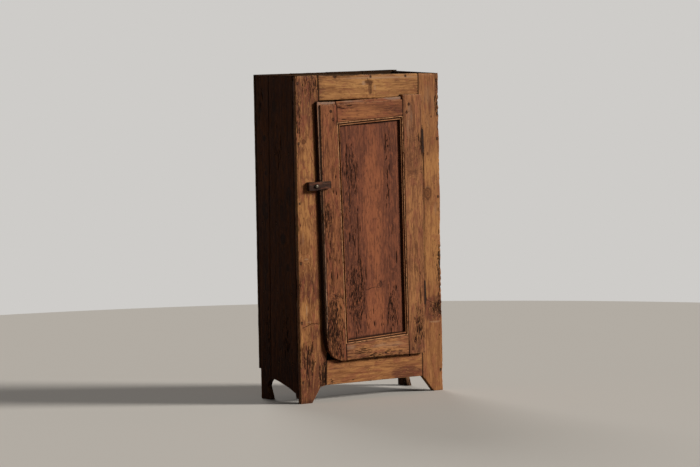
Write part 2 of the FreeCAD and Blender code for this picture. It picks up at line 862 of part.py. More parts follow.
button_wedge = doc.addObject("PartDesign::Body", "button_wedge")
wedge_pad = button_wedge.newObject("PartDesign::Pad", "button_wedge_pad")
wedge_pad.Profile = sketch_on(button_wedge, "XY_Plane", "button_wedge_outline", [
    (button_left, s.button_tip_proud - s.button_tail_proud),
    (button_right, 0),
    (button_right, s.button_tip_proud),
    (button_left, s.button_tip_proud),
])
bind(wedge_pad, "Length", s.cupboard_height)
button_wedge.Tip = wedge_pad
place(button_wedge, (left, proud(s.button_tip_proud), 0))

button_solid = doc.addObject("Part::MultiCommon", "button_solid")
button_solid.Shapes = [fuse("button_block", [button_base, button_tongue]), button_wedge]

head_seat = s.button_tail_proud - s.pivot_head_height


def pivot_cylinder(name, radius, back, length):
    """A cylinder on the button's pivot that stands out to the front from a plane."""
    piece = doc.addObject("Part::Cylinder", name)
    bind(piece, "Radius", radius)
    bind(piece, "Height", length)
    piece.Placement.Rotation = FreeCAD.Rotation(FreeCAD.Vector(1, 0, 0), 90)
    place(piece, (pivot_x, proud(back), s.button_pivot_height))
    return piece


screw_hole = pivot_cylinder(
    "button_screw_hole", s.pivot_screw_radius + s.pivot_clearance, 0, s.button_tip_proud)
head_hole = pivot_cylinder(
    "button_head_recess", s.pivot_head_radius + s.pivot_clearance,
    head_seat - s.pivot_clearance, s.button_tip_proud)
cut(button_solid, [screw_hole, head_hole], "turn_button")

screw_back = head_seat - s.pivot_screw_length
pivot_shank = pivot_cylinder("button_screw_shank", s.pivot_screw_radius, screw_back, s.pivot_screw_length)
pivot_head = pivot_cylinder("button_screw_head", s.pivot_head_radius, head_seat, s.pivot_head_height)
subpart(fuse("button_screw_solid", [pivot_shank, pivot_head]), "button_screw")

# Cut nails: a square shank and a square head that stands a little proud


def nail(point, way, length):
    """A nail whose head lies on point and whose shank runs along way into the wood."""
    axis = FreeCAD.Vector(*way)
    shank = s.nail_width.value
    head = s.nail_head_width.value
    sunk = s.nail_head_thickness.value - s.nail_head_proud.value
    start = FreeCAD.Vector(*point) - axis * s.nail_head_proud.value
    shapes = []
    for width, reach in ((head, s.nail_head_proud.value + sunk), (shank, length)):
        flat = [width if abs(step) < 0.5 else reach for step in way]
        middle = start + axis * (reach / 2)
        corner = middle - FreeCAD.Vector(*flat) * 0.5
        shapes.append(Part.makeBox(flat[0], flat[1], flat[2], corner))
    return shapes[0].fuse(shapes[1]).removeSplitter()


edge_distance = s.nail_from_edge.value
mid_shelf = s.shelf_thickness.value / 2
level_middles = [top.value - mid_shelf for top in shelf_tops]
level_middles.append(s.cupboard_height.value - s.top_thickness.value / 2)
side_middle = s.side_thickness.value / 2
carcase_front_y = front.value
inner_front_y = carcase_back.value
inner_rear_y = (front + side_rear).value
rear_y = (front + s.cupboard_depth).value

frame_nail_shapes = []
for x in (left.value + side_middle, right.value - side_middle):
    for z in spread(s.arch_peak_height.value, s.cupboard_height.value - edge_distance, STILE_NAIL_COUNT):
        frame_nail_shapes.append(nail((x, carcase_front_y, z), (0, 1, 0), s.frame_nail_length.value))
rail_start = (left + s.stile_left_sill + s.rail_nail_from_stile).value
rail_end = (left + hinge_edge - s.rail_nail_from_stile).value
for x in spread(rail_start, rail_end, RAIL_NAIL_COUNT):
    for z in (level_middles[0], level_middles[-1]):
        frame_nail_shapes.append(nail((x, carcase_front_y, z), (0, 1, 0), s.frame_nail_length.value))

back_nail_shapes = []
for number in range(BACK_BOARD_COUNT):
    board_left = (left + (back_width + s.back_seam_gap) * number).value
    for x in (board_left + edge_distance, board_left + back_width.value - edge_distance):
        for z in level_middles:
            back_nail_shapes.append(nail((x, rear_y, z), (0, -1, 0), s.back_nail_length.value))

side_nail_shapes = []
batten_nail_shapes = []
side_nail_places = spread(inner_front_y + edge_distance, inner_rear_y - edge_distance, SIDE_NAIL_COUNT)
for y in side_nail_places:
    for z in level_middles:
        length = s.side_nail_length.value
        side_nail_shapes.append(nail((left.value, y, z), (1, 0, 0), length))
        side_nail_shapes.append(nail((right.value, y, z), (-1, 0, 0), length))
    for z in level_middles[:-1]:
        height = z - mid_shelf - s.batten_height.value / 2
        length = s.batten_nail_length.value
        batten_left_x = (left + s.side_thickness + s.batten_width).value
        batten_nail_shapes.append(nail((batten_left_x, y, height), (-1, 0, 0), length))
        batten_nail_shapes.append(nail((-batten_left_x, y, height), (1, 0, 0), length))

frame_nails = subpart(group("frame_nails", frame_nail_shapes), "frame_nails")
back_nails = subpart(group("back_nails", back_nail_shapes), "back_nails")
side_nails = subpart(group("side_nails", side_nail_shapes), "side_nails")
batten_nails = subpart(group("batten_nails", batten_nail_shapes), "batten_nails")

# Joints and nail holes cut, each with the piece that fills it

for side, (front_board, rear_board) in side_blanks.items():
    cut(front_board, [frame_nails, side_nails, batten_nails], "side_%s_front" % side)
    cut(rear_board, [side_nails, batten_nails], "side_%s_rear" % side)
for node, blank in zip(shelf_nodes, shelf_blanks):
    holes = [side_nails, back_nails]
    if node == "bottom_board":
        holes.append(frame_nails)
    cut(blank, holes, node)
cut(top_blank, [side_nails, back_nails, frame_nails], "top_board")
for (side, number), blank in batten_blanks.items():
    cut(blank, [batten_nails], "batten_%s_%d" % (side, number))
for number, blank in enumerate(back_blanks, start=1):
    cut(blank, [back_nails], "back_board_%d" % number)

pivot_hole = pivot_cylinder(
    "stile_screw_hole", s.pivot_screw_radius + s.screw_hole_clearance,
    0 - s.frame_thickness, s.frame_thickness)
cut(stile_left_blank, [tenon_top_left, tenon_bottom_left, pivot_hole, frame_nails], "stile_left")
cut(stile_right_blank, [tenon_top_right, tenon_bottom_right] + frame_leaf_recesses
    + frame_screw_holes + [frame_nails], "stile_right")
cut(rail_top_tenoned, [frame_nails], "frame_rail_top")
cut(rail_bottom_tenoned, [frame_nails], "frame_rail_bottom")
cut(door_stile_lock_blank, [lip_rebate, door_panel, door_tenons["top_left"],
                            door_tenons["bottom_left"], door_pegs], "door_stile_lock")
cut(door_stile_hinge_blank, [door_panel, door_tenons["top_right"], door_tenons["bottom_right"],
                             door_pegs] + door_screw_holes, "door_stile_hinge")
cut(door_rail_top_tenoned, [lip_rebate, door_panel, door_pegs], "door_rail_top")
cut(door_rail_bottom_tenoned, [door_panel, door_pegs], "door_rail_bottom")

doc.recompute()

# Check every object, then write each piece

for item in doc.Objects:
    if "Invalid" in item.State or "Error" in item.State:
        raise RuntimeError("%s did not recompute" % item.Name)
for piece in subparts:
    if piece.Shape.isNull() or not piece.Shape.isValid():
        raise RuntimeError("%s has no valid shape" % piece.Label)

os.makedirs("parts", exist_ok=True)
for piece in subparts:
    piece.Shape.exportStep("parts/%s.step" % piece.Label)

whole = Part.makeCompound([piece.Shape for piece in subparts]).BoundBox
print("%d pieces, X %.2f to %.2f, Y %.2f to %.2f, Z %.2f to %.2f mm" % (
    len(subparts), whole.XMin, whole.XMax, whole.YMin, whole.YMax, whole.ZMin, whole.ZMax))
print("door hinge axis at X %.3f, Y %.3f mm" % (hinge_x.value, hinge_y.value))
print("button pivot at X %.3f, Z %.3f mm" % (pivot_x.value, s.button_pivot_height.value))
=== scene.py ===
"""A worn pine jelly cupboard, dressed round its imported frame: each board of the carcase, the
door and its planted moulding, the wooden turn button and the ironwork."""

import functools
import json
import math
import random

import bmesh
import bpy
import numpy as np
from mathutils import Matrix, Vector, noise
from mathutils.bvhtree import BVHTree

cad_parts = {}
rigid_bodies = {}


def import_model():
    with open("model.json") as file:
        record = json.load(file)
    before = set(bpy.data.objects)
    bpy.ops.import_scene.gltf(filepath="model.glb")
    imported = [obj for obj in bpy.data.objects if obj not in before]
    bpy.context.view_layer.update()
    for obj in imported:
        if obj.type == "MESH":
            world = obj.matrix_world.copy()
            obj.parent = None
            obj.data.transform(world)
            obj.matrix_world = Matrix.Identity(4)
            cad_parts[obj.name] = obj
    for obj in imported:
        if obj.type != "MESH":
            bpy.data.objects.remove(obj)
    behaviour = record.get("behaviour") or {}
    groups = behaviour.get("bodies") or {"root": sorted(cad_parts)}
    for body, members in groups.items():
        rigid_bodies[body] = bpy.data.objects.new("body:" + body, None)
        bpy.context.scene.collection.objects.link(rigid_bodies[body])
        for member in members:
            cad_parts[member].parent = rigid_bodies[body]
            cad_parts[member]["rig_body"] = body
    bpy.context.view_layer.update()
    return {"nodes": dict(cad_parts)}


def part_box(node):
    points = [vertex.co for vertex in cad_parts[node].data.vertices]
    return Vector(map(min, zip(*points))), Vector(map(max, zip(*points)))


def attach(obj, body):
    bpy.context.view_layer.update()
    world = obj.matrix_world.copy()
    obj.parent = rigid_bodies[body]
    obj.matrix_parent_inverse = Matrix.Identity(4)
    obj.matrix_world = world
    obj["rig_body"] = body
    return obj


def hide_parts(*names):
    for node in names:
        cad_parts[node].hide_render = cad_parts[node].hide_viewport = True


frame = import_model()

MM = 0.001
LEFT, FRONT = (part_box("stile_left")[0][axis] / MM for axis in (0, 1))
BACK = 150

# How a board lies: its axes across the face, through the thickness and along the grain
UPRIGHT = Matrix(((1, 0, 0), (0, 1, 0), (0, 0, 1)))
CROSSWISE = Matrix(((0, 0, 1), (0, 1, 0), (-1, 0, 0)))
SIDEWAYS = Matrix(((0, 1, 0), (-1, 0, 0), (0, 0, 1)))
LEVEL = Matrix(((0, 1, 0), (0, 0, 1), (1, 0, 0)))
ENDWAYS = Matrix(((0, 0, 1), (1, 0, 0), (0, 1, 0)))

TO_FRONT = Vector((0, -1, 0))
TO_BACK = Vector((0, 1, 0))
TO_LEFT = Vector((-1, 0, 0))
TO_RIGHT = Vector((1, 0, 0))
UP = Vector((0, 0, 1))

# How near two cuts or two points may come, in millimetres
CUT_SLACK = 0.002
SAME_POINT = 0.01

# How an arris is rounded and how steep an edge counts as one, in millimetres and degrees
ARRIS_EASING = 0.9
ARRIS_ANGLE = 38
SHORTEST_ARRIS = 5.6
CREASE_ANGLE = 42

# A way along which no two points or faces lie level. Sorted along it, what a cut or a spin leaves
# in any order comes out the same each run
SORTING_WAY = Vector((1, math.pi, math.e))

# How far off an arris the wear reaches, at most and for each millimetre of depth
WEAR_REACH = 16
WEAR_SPREAD = 3.2

# How near another piece the dirt and painted contact shade gather, and how fast they fade
CREVICE_REACH = 8
CREVICE_FADE = 2.6

# The sizes of strewn worm tracks, and how far a track may stray and wander
TRACK_LENGTHS = (7, 34)
TRACK_WIDTHS = (1.0, 2.0)
TRACK_REACH = 12
TRACK_WANDER = 1.5


def on_front(x, z):
    """A spot on the front, from the cupboard's left edge and the floor, in millimetres."""
    return Vector((LEFT + x, FRONT, z))


def on_side(y, z):
    """A spot on a side, from the face frame's front and the floor, in millimetres."""
    return Vector((LEFT, FRONT + y, z))


def on_back(x, z):
    """A spot on the back, from the cupboard's middle and the floor, in millimetres."""
    return Vector((x, BACK, z))


def on_level(x, y):
    """A spot on a level board, from the cupboard's middle, in millimetres."""
    return Vector((x, y, 0))


# Marks: each lies at a spot of the front unless it says what it is on


class Mark:
    """Something on a board, with the sizes and strengths that its kind has."""

    def __init__(self, **traits):
        vars(self).update(traits)


def patch(x, z, across, along, amount, on=on_front):
    """A soft-edged oval, with how strongly it applies."""
    return Mark(spot=on(x, z), across=across, along=along, amount=amount)


def knot(x, z, across, along, dark=1.0, pull=2.4, on=on_front):
    """A knot through a board, with its half sizes and how hard it bends the growth rings."""
    return Mark(spot=on(x, z), across=across, along=along, dark=dark, pull=pull)


def track(x, z, length, width, depth=1.4):
    """A worm's track or a crack that opens the face along the grain."""
    return Mark(spot=on_front(x, z), length=length, width=width, depth=depth)


def crack(x, z, end_x, end_z, width=2.0, dark=0.85):
    """A hair crack or dark seam that wanders between two spots."""
    return Mark(start=on_front(x, z), end=on_front(end_x, end_z), width=width, dark=dark)


def scattered(area, lay, count, seed):
    """Tracks strewn over the middle of a patch."""
    chance = random.Random(seed)
    tracks = []
    for _ in range(count):
        aside = chance.gauss(0, 0.45) * area.across
        up = chance.gauss(0, 0.5) * area.along
        strewn = track(0, 0, chance.uniform(*TRACK_LENGTHS), chance.uniform(*TRACK_WIDTHS))
        strewn.spot = area.spot + lay[0] * aside + lay[2] * up
        tracks.append(strewn)
    return tracks


class Board(Mark):
    """The marks of one board, in millimetres along its own axes.

    spacing is how far apart the cuts lie across and along the shown faces, dirty_side a face
    that is painted black as shade, and sawn a spot and a way out of the wood."""

    patches = tracks = eaten = grime = bites = bleached_and_highlit = strewn = ()
    wear = 0.9
    bow = 0.35
    spacing = (3.0, 6.0)
    dirty_side = sawn = None

    def __init__(self, lay, faces, **marks):
        super().__init__(lay=lay, faces=faces, **marks)
        self.tracks = list(self.tracks)
        for number, (area, count) in enumerate(self.strewn):
            self.tracks += scattered(area, lay, count, number + 17 * count)


# Finishes


def shade(red, green, blue):
    """A colour as it looks on the wood, in parts of 255, for a socket."""
    parts = [part / 255 for part in (red, green, blue)]
    linear = [((part + 0.055) / 1.055) ** 2.4 if part > 0.04045 else part / 12.92 for part in parts]
    return (*linear, 1)


class Amount:
    """A number that varies over a surface, which takes part in sums."""

    def __init__(self, finish, socket):
        self.finish = finish
        self.socket = socket

    def sum(self, operation, *numbers):
        return self.finish.node("ShaderNodeMath", {"operation": operation}, numbers)

    def __add__(self, other):
        return self.sum("ADD", self, other)

    def __sub__(self, other):
        return self.sum("SUBTRACT", self, other)

    def __mul__(self, other):
        return self.sum("MULTIPLY", self, other)

    def __truediv__(self, other):
        return self.sum("DIVIDE", self, other)

    def __pow__(self, other):
        return self.sum("POWER", self, other)

    def __rsub__(self, other):
        return self.sum("SUBTRACT", other, self)

    def __neg__(self):
        return self.sum("MULTIPLY", self, -1)

    __radd__ = __add__
    __rmul__ = __mul__

    def past(self, low, high):
        """0 below low, 1 above high, and smooth between."""
        settings = {"interpolation_type": "SMOOTHSTEP"}
        return self.finish.node("ShaderNodeMapRange", settings, {0: self, 1: low, 2: high})

    def clipped(self):
        return self.finish.node("ShaderNodeClamp", {}, {0: self})

    def part(self):
        """What is left over whole numbers."""
        return self.sum("FRACT", self)

    def larger(self, other):
        return self.sum("MAXIMUM", self, other)

    def size(self):
        return self.sum("ABSOLUTE", self)


class Finish:
    """A material, or the world, and the nodes that give it its colour and relief."""

    def __init__(self, name, world=None):
        self.holder = world or bpy.data.materials.new(name)
        self.holder.use_nodes = True
        self.tree = self.holder.node_tree
        self.tree.nodes.clear()

    def node(self, kind, settings, inputs, output=0):
        """Add a node of a kind with its settings and inputs, and return one output."""
        made = self.tree.nodes.new(kind)
        for name, setting in settings.items():
            setattr(made, name, setting)
        pairs = inputs.items() if isinstance(inputs, dict) else enumerate(inputs)
        for socket, value in pairs:
            if isinstance(value, Amount):
                self.tree.links.new(value.socket, made.inputs[socket])
            else:
                made.inputs[socket].default_value = value
        return Amount(self, made.outputs[output]) if made.outputs else None

    def place(self, lay, offset=(0, 0, 0)):
        """Object coordinates in millimetres along a board's own axes."""
        spot = self.node("ShaderNodeTexCoord", {}, {}, "Object")
        scale = (1 / MM,) * 3
        inputs = {"Vector": spot, "Location": offset, "Rotation": lay.to_euler(), "Scale": scale}
        return self.node("ShaderNodeMapping", {}, inputs)

    def vector(self, operation, inputs, output=0):
        return self.node("ShaderNodeVectorMath", {"operation": operation}, inputs, output)

    def stretched(self, place, lengths):
        """A place measured in lengths along the board's axes."""
        return self.vector("MULTIPLY", [place, [1 / length for length in lengths]])

    def cloud(self, place, lengths, detail=2.0, distortion=0.0):
        """Smooth noise from 0 to 1 with lumps of the given lengths."""
        inputs = {
            "Vector": self.stretched(place, lengths), "Scale": 1.0,
            "Detail": detail, "Distortion": distortion,
        }
        return self.node("ShaderNodeTexNoise", {}, inputs)

    def streak(self, number, detail):
        """Noise along a line, so that it stays the same over a whole growth ring."""
        settings = {"noise_dimensions": "1D"}
        return self.node("ShaderNodeTexNoise", settings, {"W": number, "Scale": 1.0, "Detail": detail})

    def nearest(self, place, lengths):
        """The distance to the nearest of some scattered points."""
        inputs = {"Vector": self.stretched(place, lengths), "Scale": 1.0}
        return self.node("ShaderNodeTexVoronoi", {}, inputs, "Distance")

    def from_mesh(self, name):
        """An amount that was worked into the mesh."""
        return self.node("ShaderNodeAttribute", {"attribute_name": name}, {}, "Fac")

    def mix(self, share, first, second):
        settings = {"data_type": "RGBA", "clamp_factor": True}
        return self.node("ShaderNodeMix", settings, {0: share, 6: first, 7: second}, 2)

    def relief(self, height, depth, strength):
        """Bumps of a depth in millimetres where height goes from 0 to 1."""
        inputs = {"Strength": strength, "Distance": depth * MM, "Height": height}
        return self.node("ShaderNodeBump", {}, inputs)

    def surface(self, **inputs):
        """End in one principled shader with these inputs."""
        named = {name.replace("_", " "): value for name, value in inputs.items()}
        shader = self.node("ShaderNodeBsdfPrincipled", {}, named)
        self.node("ShaderNodeOutputMaterial", {}, [shader])
        return self.holder


class Tones:
    """The colours of one board's wood."""

    def __init__(self, pale, deep, golden, aged, dirt=(30, 17, 10), rosy=(140, 82, 58),
                 bleached_and_highlit=(184, 144, 112)):
        self.pale, self.deep = shade(*pale), shade(*deep)
        self.golden, self.aged = shade(*golden), shade(*aged)
        self.dirt, self.rosy, self.bleached_and_highlit = shade(*dirt), shade(*rosy), shade(*bleached_and_highlit)


class Pine(Finish):
    """Old pine: its colour so far, and the fine noises that several of its marks share."""

    def __init__(self, name, lay, tones, seed):
        super().__init__(name)
        self.lay = lay
        self.tones = tones
        self.spot = self.place(lay)
        self.loose = self.place(lay, (seed * 131.0, seed * 57.0, seed * 211.0))
        self.across, self.depth, self.length = (
            self.node("ShaderNodeSeparateXYZ", {}, [self.spot], axis) for axis in range(3))
        self.mottle = self.noise((30, 30, 90), 4.0, 0.5)
        self.fibre = self.noise((0.9, 0.9, 34), 2.0)
        self.hair = self.noise((2.4, 2.4, 80), 2.0)
        self.fine = self.noise((1.2, 1.2, 8.5), 1.0, 0.1)
        self.eaten = self.from_mesh("eaten")
        self.arris = self.from_mesh("rubbed_and_highlit")

    def noise(self, lengths, detail=2.0, distortion=0.0):
        return self.cloud(self.loose, lengths, detail, distortion)

    def stain(self, share, colour):
        self.wood = self.mix(share, self.wood, colour)

    def years(self, heart, ring, slope):
        """The growth rings at each point, counted from the tree's heart."""
        wander = self.noise((90, 90, 420), 1.0) - 0.5
        shiver = self.noise((26, 26, 120)) - 0.5
        sideways = self.across + (wander * 46 - heart[0])
        deep = self.depth + (shiver * 7 - heart[1])
        radius = (sideways * sideways + deep * deep) ** 0.5
        return radius / ring + self.length * (slope / ring)

    def knotted(self, knots, growth, ring):
        """The growth rings bent round the knots, and the rim, core, swirl and bark of the knots."""
        marks = []
        for eye in knots:
            spread = self.vector("SUBTRACT", [self.spot, self.lay @ eye.spot])
            flat = self.stretched(spread, (eye.across, 1e6, eye.along))
            reach = self.vector("LENGTH", [flat], "Value")
            ragged = reach + (self.noise((7, 7, 9)) - 0.5) * 0.45
            pulled = reach.sum("EXPONENT", reach * reach * -0.42)
            growth = growth + pulled * (eye.pull * eye.across / ring)
            core = (1 - ragged.past(0.72, 1.05)) * eye.dark
            rim = (1 - (ragged - 1.05).size().past(0.0, 0.42)) * eye.dark
            bark = (1 - (ragged - 0.92).size().past(0.0, 0.13)) * eye.dark
            swirl = (ragged * 2.3).part().past(0.3, 0.85) * core
            these = [rim, core, swirl, bark]
            marks = [mark.larger(other) for mark, other in zip(marks, these)] if marks else these
        return growth, marks

    def grain(self, growth, latewood, seed, contrast):
        """Pale and deep wood by season and year, turned golden or aged where the board says so."""
        season = self.streak(growth * 0.23 + seed * 9.0, 2.0)
        year = self.streak(growth * 0.9 + seed * 5.0, 0.0)
        flame = self.noise((9, 9, 150), 3.0, 0.6)
        streaks = self.noise((5.5, 5.5, 85), 3.0, 0.3)
        deepening = season.past(0.3, 0.7) * 0.55 + latewood * (year * 0.5 + 0.2)
        deepening = deepening * contrast + (self.mottle - 0.5) * 1.0 + (self.hair - 0.5) * 0.9
        self.wood = self.mix(deepening.clipped(), self.tones.pale, self.tones.deep)
        uneven = (flame - 0.5) * 2.3 + (self.mottle - 0.5) * 1.0
        tint = self.from_mesh("tint") + uneven
        self.stain(tint.past(0.1, 0.75) * 0.85, self.tones.golden)
        self.stain((-tint).past(0.1, 0.75) * 0.85, self.tones.aged)
        self.stain(streaks.past(0.5, 0.72) * 0.5, self.tones.deep)
        self.stain((1 - streaks).past(0.52, 0.74) * 0.3, self.tones.golden)
        self.stain(self.fibre.past(0.56, 0.8) * 0.32, self.tones.deep)

    def weathering(self, rough):
        """Rosy, smoky and weathered blotches, and pale wood where the board is bleached and where a
        highlight is painted.
        """
        blush = self.noise((24, 24, 75), 3.0, 1.0)
        smoke = self.noise((20, 20, 46), 4.0, 0.8)
        weather = self.noise((4.5, 4.5, 30), 5.0, 0.5)
        self.stain(blush.past(0.53, 0.6) * (0.45 * rough), self.tones.rosy)
        self.stain(smoke.past(0.54, 0.68) * (0.34 * rough), self.tones.aged)
        self.stain(weather.past(0.54, 0.6) * (0.38 * rough), self.tones.deep)
        self.stain((1 - weather).past(0.56, 0.63) * (0.34 * rough), self.tones.golden)
        bleached_and_highlit = self.from_mesh("bleached_and_highlit") + (self.mottle - 0.5) * 0.6 + (self.hair - 0.5) * 0.4
        self.stain(bleached_and_highlit.past(0.3, 0.8) * 0.7, self.tones.bleached_and_highlit)

    def knot_colours(self, rim, core, swirl, bark):
        self.stain(rim * 0.6, self.tones.deep)
        self.stain(core * 0.85, self.tones.deep)
        self.stain(swirl * 0.75, self.mix(0.6, self.tones.deep, self.tones.dirt))
        self.stain(bark * 0.6, self.tones.dirt)

    def worm_holes(self):
        """Worm dashes, crumbled wood, pinholes, checks and the tracks that are cut in the mesh."""
        dashes = self.noise((2.9, 2.9, 24), 1.0, 0.15)
        dash = (dashes + self.eaten * 0.27).past(0.75, 0.8)
        crumb = (self.fine + self.eaten * 0.15).past(0.79, 0.86)
        pinhole = 1 - self.nearest(self.loose, (15, 15, 19)).past(0.06, 0.085)
        checks = self.noise((3.2, 3.2, 190), 1.0)
        check = (checks + self.eaten * 0.03).past(0.79, 0.81)
        bored = 1 - self.nearest(self.loose, (8, 8, 8)).past(0.13, 0.2)
        bored = bored * self.eaten.past(0.55, 0.85)
        channel = (self.from_mesh("tracks") + (self.fine - 0.5) * 0.5).past(0.22, 0.55)
        return dash.larger(crumb).larger(pinhole * 0.9).larger(check * 0.7).larger(bored).larger(channel)

    def cracked(self, line, waver):
        """How dark a crack is at each point."""
        start = self.lay @ line.start
        span = self.lay @ line.end - start
        reach = span.length_squared
        aside, above = self.across - start.x, self.length - start.z
        share = (aside * (span.x / reach) + above * (span.z / reach)).clipped()
        aside = aside - share * span.x + waver * (span.z / reach ** 0.5)
        above = above - share * span.z - waver * (span.x / reach ** 0.5)
        gap = (aside * aside + above * above) ** 0.5
        return (1 - gap.past(line.width * 0.35, line.width)) * line.dark

    def wear(self, hollow, rough):
        """Nicks, flecks, holes, arrises rubbed pale and partly painted as highlights, and the dirt and
        painted shade beside them; returns the dirt and painted shade.
        """
        nicks = self.noise((3.6, 3.6, 14), 2.0, 0.3)
        nicked = (nicks + self.arris * 0.17 + self.eaten * 0.04 + (rough - 1) * 0.05).past(0.67, 0.73)
        flecks = self.noise((2.6, 2.6, 11), 2.0, 0.6)
        self.stain(self.eaten * self.mottle * 0.3, self.tones.aged)
        self.stain((flecks + self.eaten * 0.12).past(0.66, 0.72) * 0.65, self.tones.golden)
        self.stain(nicked * 0.6, self.tones.dirt)
        self.stain(hollow * 0.9, self.tones.dirt)
        # Arrises rubbed pale by wear, and paler still as a painted highlight
        rubbed_and_highlit = (self.arris + (self.mottle - 0.5) * 0.5 + (self.fine - 0.5) * 0.5).past(0.38, 0.9)
        grime = self.from_mesh("grime") + (self.mottle - 0.5) * 0.5 + (self.fine - 0.5) * 0.3
        grime = grime.past(0.2, 0.9)
        bare_and_highlit_wood = self.mix(0.5, self.tones.golden, shade(214, 170, 126))
        self.stain(rubbed_and_highlit * (1 - nicked) * 0.5, bare_and_highlit_wood)
        # The dark share from the mesh darkens the wood: real dirt, and painted shade in joints, recesses
        # and cast shadows
        self.stain(grime * 0.85, self.tones.dirt)
        return grime


def pine(name, lay, tones, seed, knots=(), heart=(12, 46), ring=3.4, slope=0.02, wax=0.5, contrast=1.0,
         sheen=0.08, rough=1.0, cracks=()):
    """A board's pine. heart is how far the tree's heart lies across and behind the face, and slope
    is how much it runs out along the board."""
    board = Pine(name, lay, tones, seed)
    growth, knot_marks = board.knotted(knots, board.years(heart, ring, slope), ring)
    ripe = growth.part()
    latewood = ripe.past(0.35, 0.93) * (1 - ripe.past(0.93, 1.0))
    board.grain(growth, latewood, seed, contrast)
    board.weathering(rough)
    if knots:
        board.knot_colours(*knot_marks)
    hollow = board.worm_holes()
    waver = (board.noise((14, 14, 14)) - 0.5) * 9
    for line in cracks:
        hollow = hollow.larger(board.cracked(line, waver))
    grime = board.wear(hollow, rough)

    gloss = 0.66 - wax * 0.22
    roughness = (board.mottle - 0.5) * 0.22 + hollow * 0.3 + grime * 0.2 + gloss - latewood * 0.05
    height = latewood * 0.14 + board.fibre * 0.2 + board.hair * 0.3 - hollow * 1.0
    return board.surface(
        Base_Color=board.wood, Roughness=roughness.clipped(), Specular_IOR_Level=sheen,
        Normal=board.relief(height, 0.55, 0.7))


# Worked boards


def merged(node):
    """A node's solid with its triangles joined into whole faces."""
    solid = bmesh.new()
    solid.from_mesh(frame["nodes"][node].data)
    bmesh.ops.remove_doubles(solid, verts=solid.verts, dist=SAME_POINT * MM)
    bmesh.ops.dissolve_limit(
        solid, angle_limit=math.radians(0.5), verts=solid.verts, edges=solid.edges)
    return solid


def everything(solid):
    return [*solid.verts, *solid.edges, *solid.faces]


def parts(found, kind):
    """The vertices, edges or faces among what an operator made."""
    return [item for item in found if isinstance(item, kind)]


def saw_off(solid, spot, normal, slack=0.001):
    """Saw away what lies beyond a plane, and close the cut."""
    cut = bmesh.ops.bisect_plane(
        solid, geom=everything(solid), dist=slack * MM, plane_co=spot, plane_no=normal, clear_outer=True)
    bmesh.ops.holes_fill(solid, edges=parts(cut["geom_cut"], bmesh.types.BMEdge), sides=0)


def arrises(solid, shortest=SHORTEST_ARRIS):
    """The outer corners of a board, and no rim of a nail hole."""
    found = []
    for edge in solid.edges:
        if edge.calc_length() < shortest * MM or len(edge.link_faces) != 2:
            continue
        if edge.is_convex and edge.calc_face_angle() > math.radians(ARRIS_ANGLE):
            found.append(edge)
    return found


def rounded(solid, edges, width, segments=2):
    bmesh.ops.bevel(
        solid, geom=edges, offset=width * MM, offset_type="OFFSET", affect="EDGES",
        segments=segments, profile=0.5, material=-1, clamp_overlap=True)


def sliced(solid, faces, normal, places):
    """Cut faces across at places along normal, halving the work each time."""
    if not places or not faces:
        return faces
    half = len(places) // 2
    rims = dict.fromkeys(part for face in faces for part in (*face.edges, *face.verts))
    cut = bmesh.ops.bisect_plane(
        solid, geom=[*faces, *rims], dist=CUT_SLACK * MM,
        plane_co=normal * places[half], plane_no=normal)
    faces = parts(cut["geom"], bmesh.types.BMFace)
    below = [face for face in faces if face.calc_center_median().dot(normal) < places[half]]
    above = [face for face in faces if face.calc_center_median().dot(normal) >= places[half]]
    return (sliced(solid, below, normal, places[:half])
            + sliced(solid, above, normal, places[half + 1:]))


def steps(solid, normal, spacing):
    """Evenly spaced places for cuts through a solid along normal."""
    reach = [vert.co.dot(normal) for vert in solid.verts]
    low, high = min(reach), max(reach)
    count = int((high - low) / (spacing * MM))
    return [low + (high - low) * (index + 0.5) / count for index in range(count)]


def points_of(solid):
    """A solid's points in millimetres, and its normals there."""
    solid.normal_update()
    points = np.array([vert.co for vert in solid.verts]) / MM
    return points, np.array([vert.normal for vert in solid.verts])


def move(solid, points):
    for vert, point in zip(solid.verts, points * MM):
        vert.co = point


def lumps(points, lengths, seed):
    """Smooth noise from -1 to 1 at each point, with lumps of the given lengths."""
    places = points / np.array(lengths) + seed * 7.31
    return np.array([noise.noise(Vector(place)) for place in places])


def eased(share):
    share = np.clip(share, 0, 1)
    return share * share * (3 - 2 * share)


def oval(board, places, area):
    """1 in the middle of a patch, falling smoothly to 0 at its edge."""
    centre = board.lay @ area.spot
    aside = (places[:, 0] - centre[0]) / area.across
    up = (places[:, 2] - centre[2]) / area.along
    return eased(np.clip(1 - aside ** 2 - up ** 2, 0, 1))


def amounts(board, places, patches):
    total = np.zeros(len(places))
    for area in patches:
        total += area.amount * oval(board, places, area)
    return total


def hollows(board, places, facing):
    """How deep each point of the faces is worn away by tracks, in millimetres, and how dark."""
    depth = np.zeros(len(places))
    shown = np.zeros(len(places))
    for number, line in enumerate(board.tracks):
        centre = board.lay @ line.spot
        up = (places[:, 2] - centre[2]) / (line.length / 2)
        off = places[:, 0] - centre[0]
        near = np.nonzero((np.abs(up) < 1) & (np.abs(off) < TRACK_REACH) & facing)[0]
        if not len(near):
            continue
        wiggle = np.array([noise.noise(Vector((number * 3.7, z / 24, 0))) for z in places[near, 2]])
        taper = np.sqrt(1 - up[near] ** 2)
        aside = (off[near] - wiggle * TRACK_WANDER) / (line.width * (0.35 + 0.65 * taper))
        hollow = np.clip(1 - aside ** 2, 0, 1) * taper
        depth[near] = np.maximum(depth[near], hollow * line.depth)
        shown[near] = np.maximum(shown[near], np.sqrt(hollow))
    return depth, shown


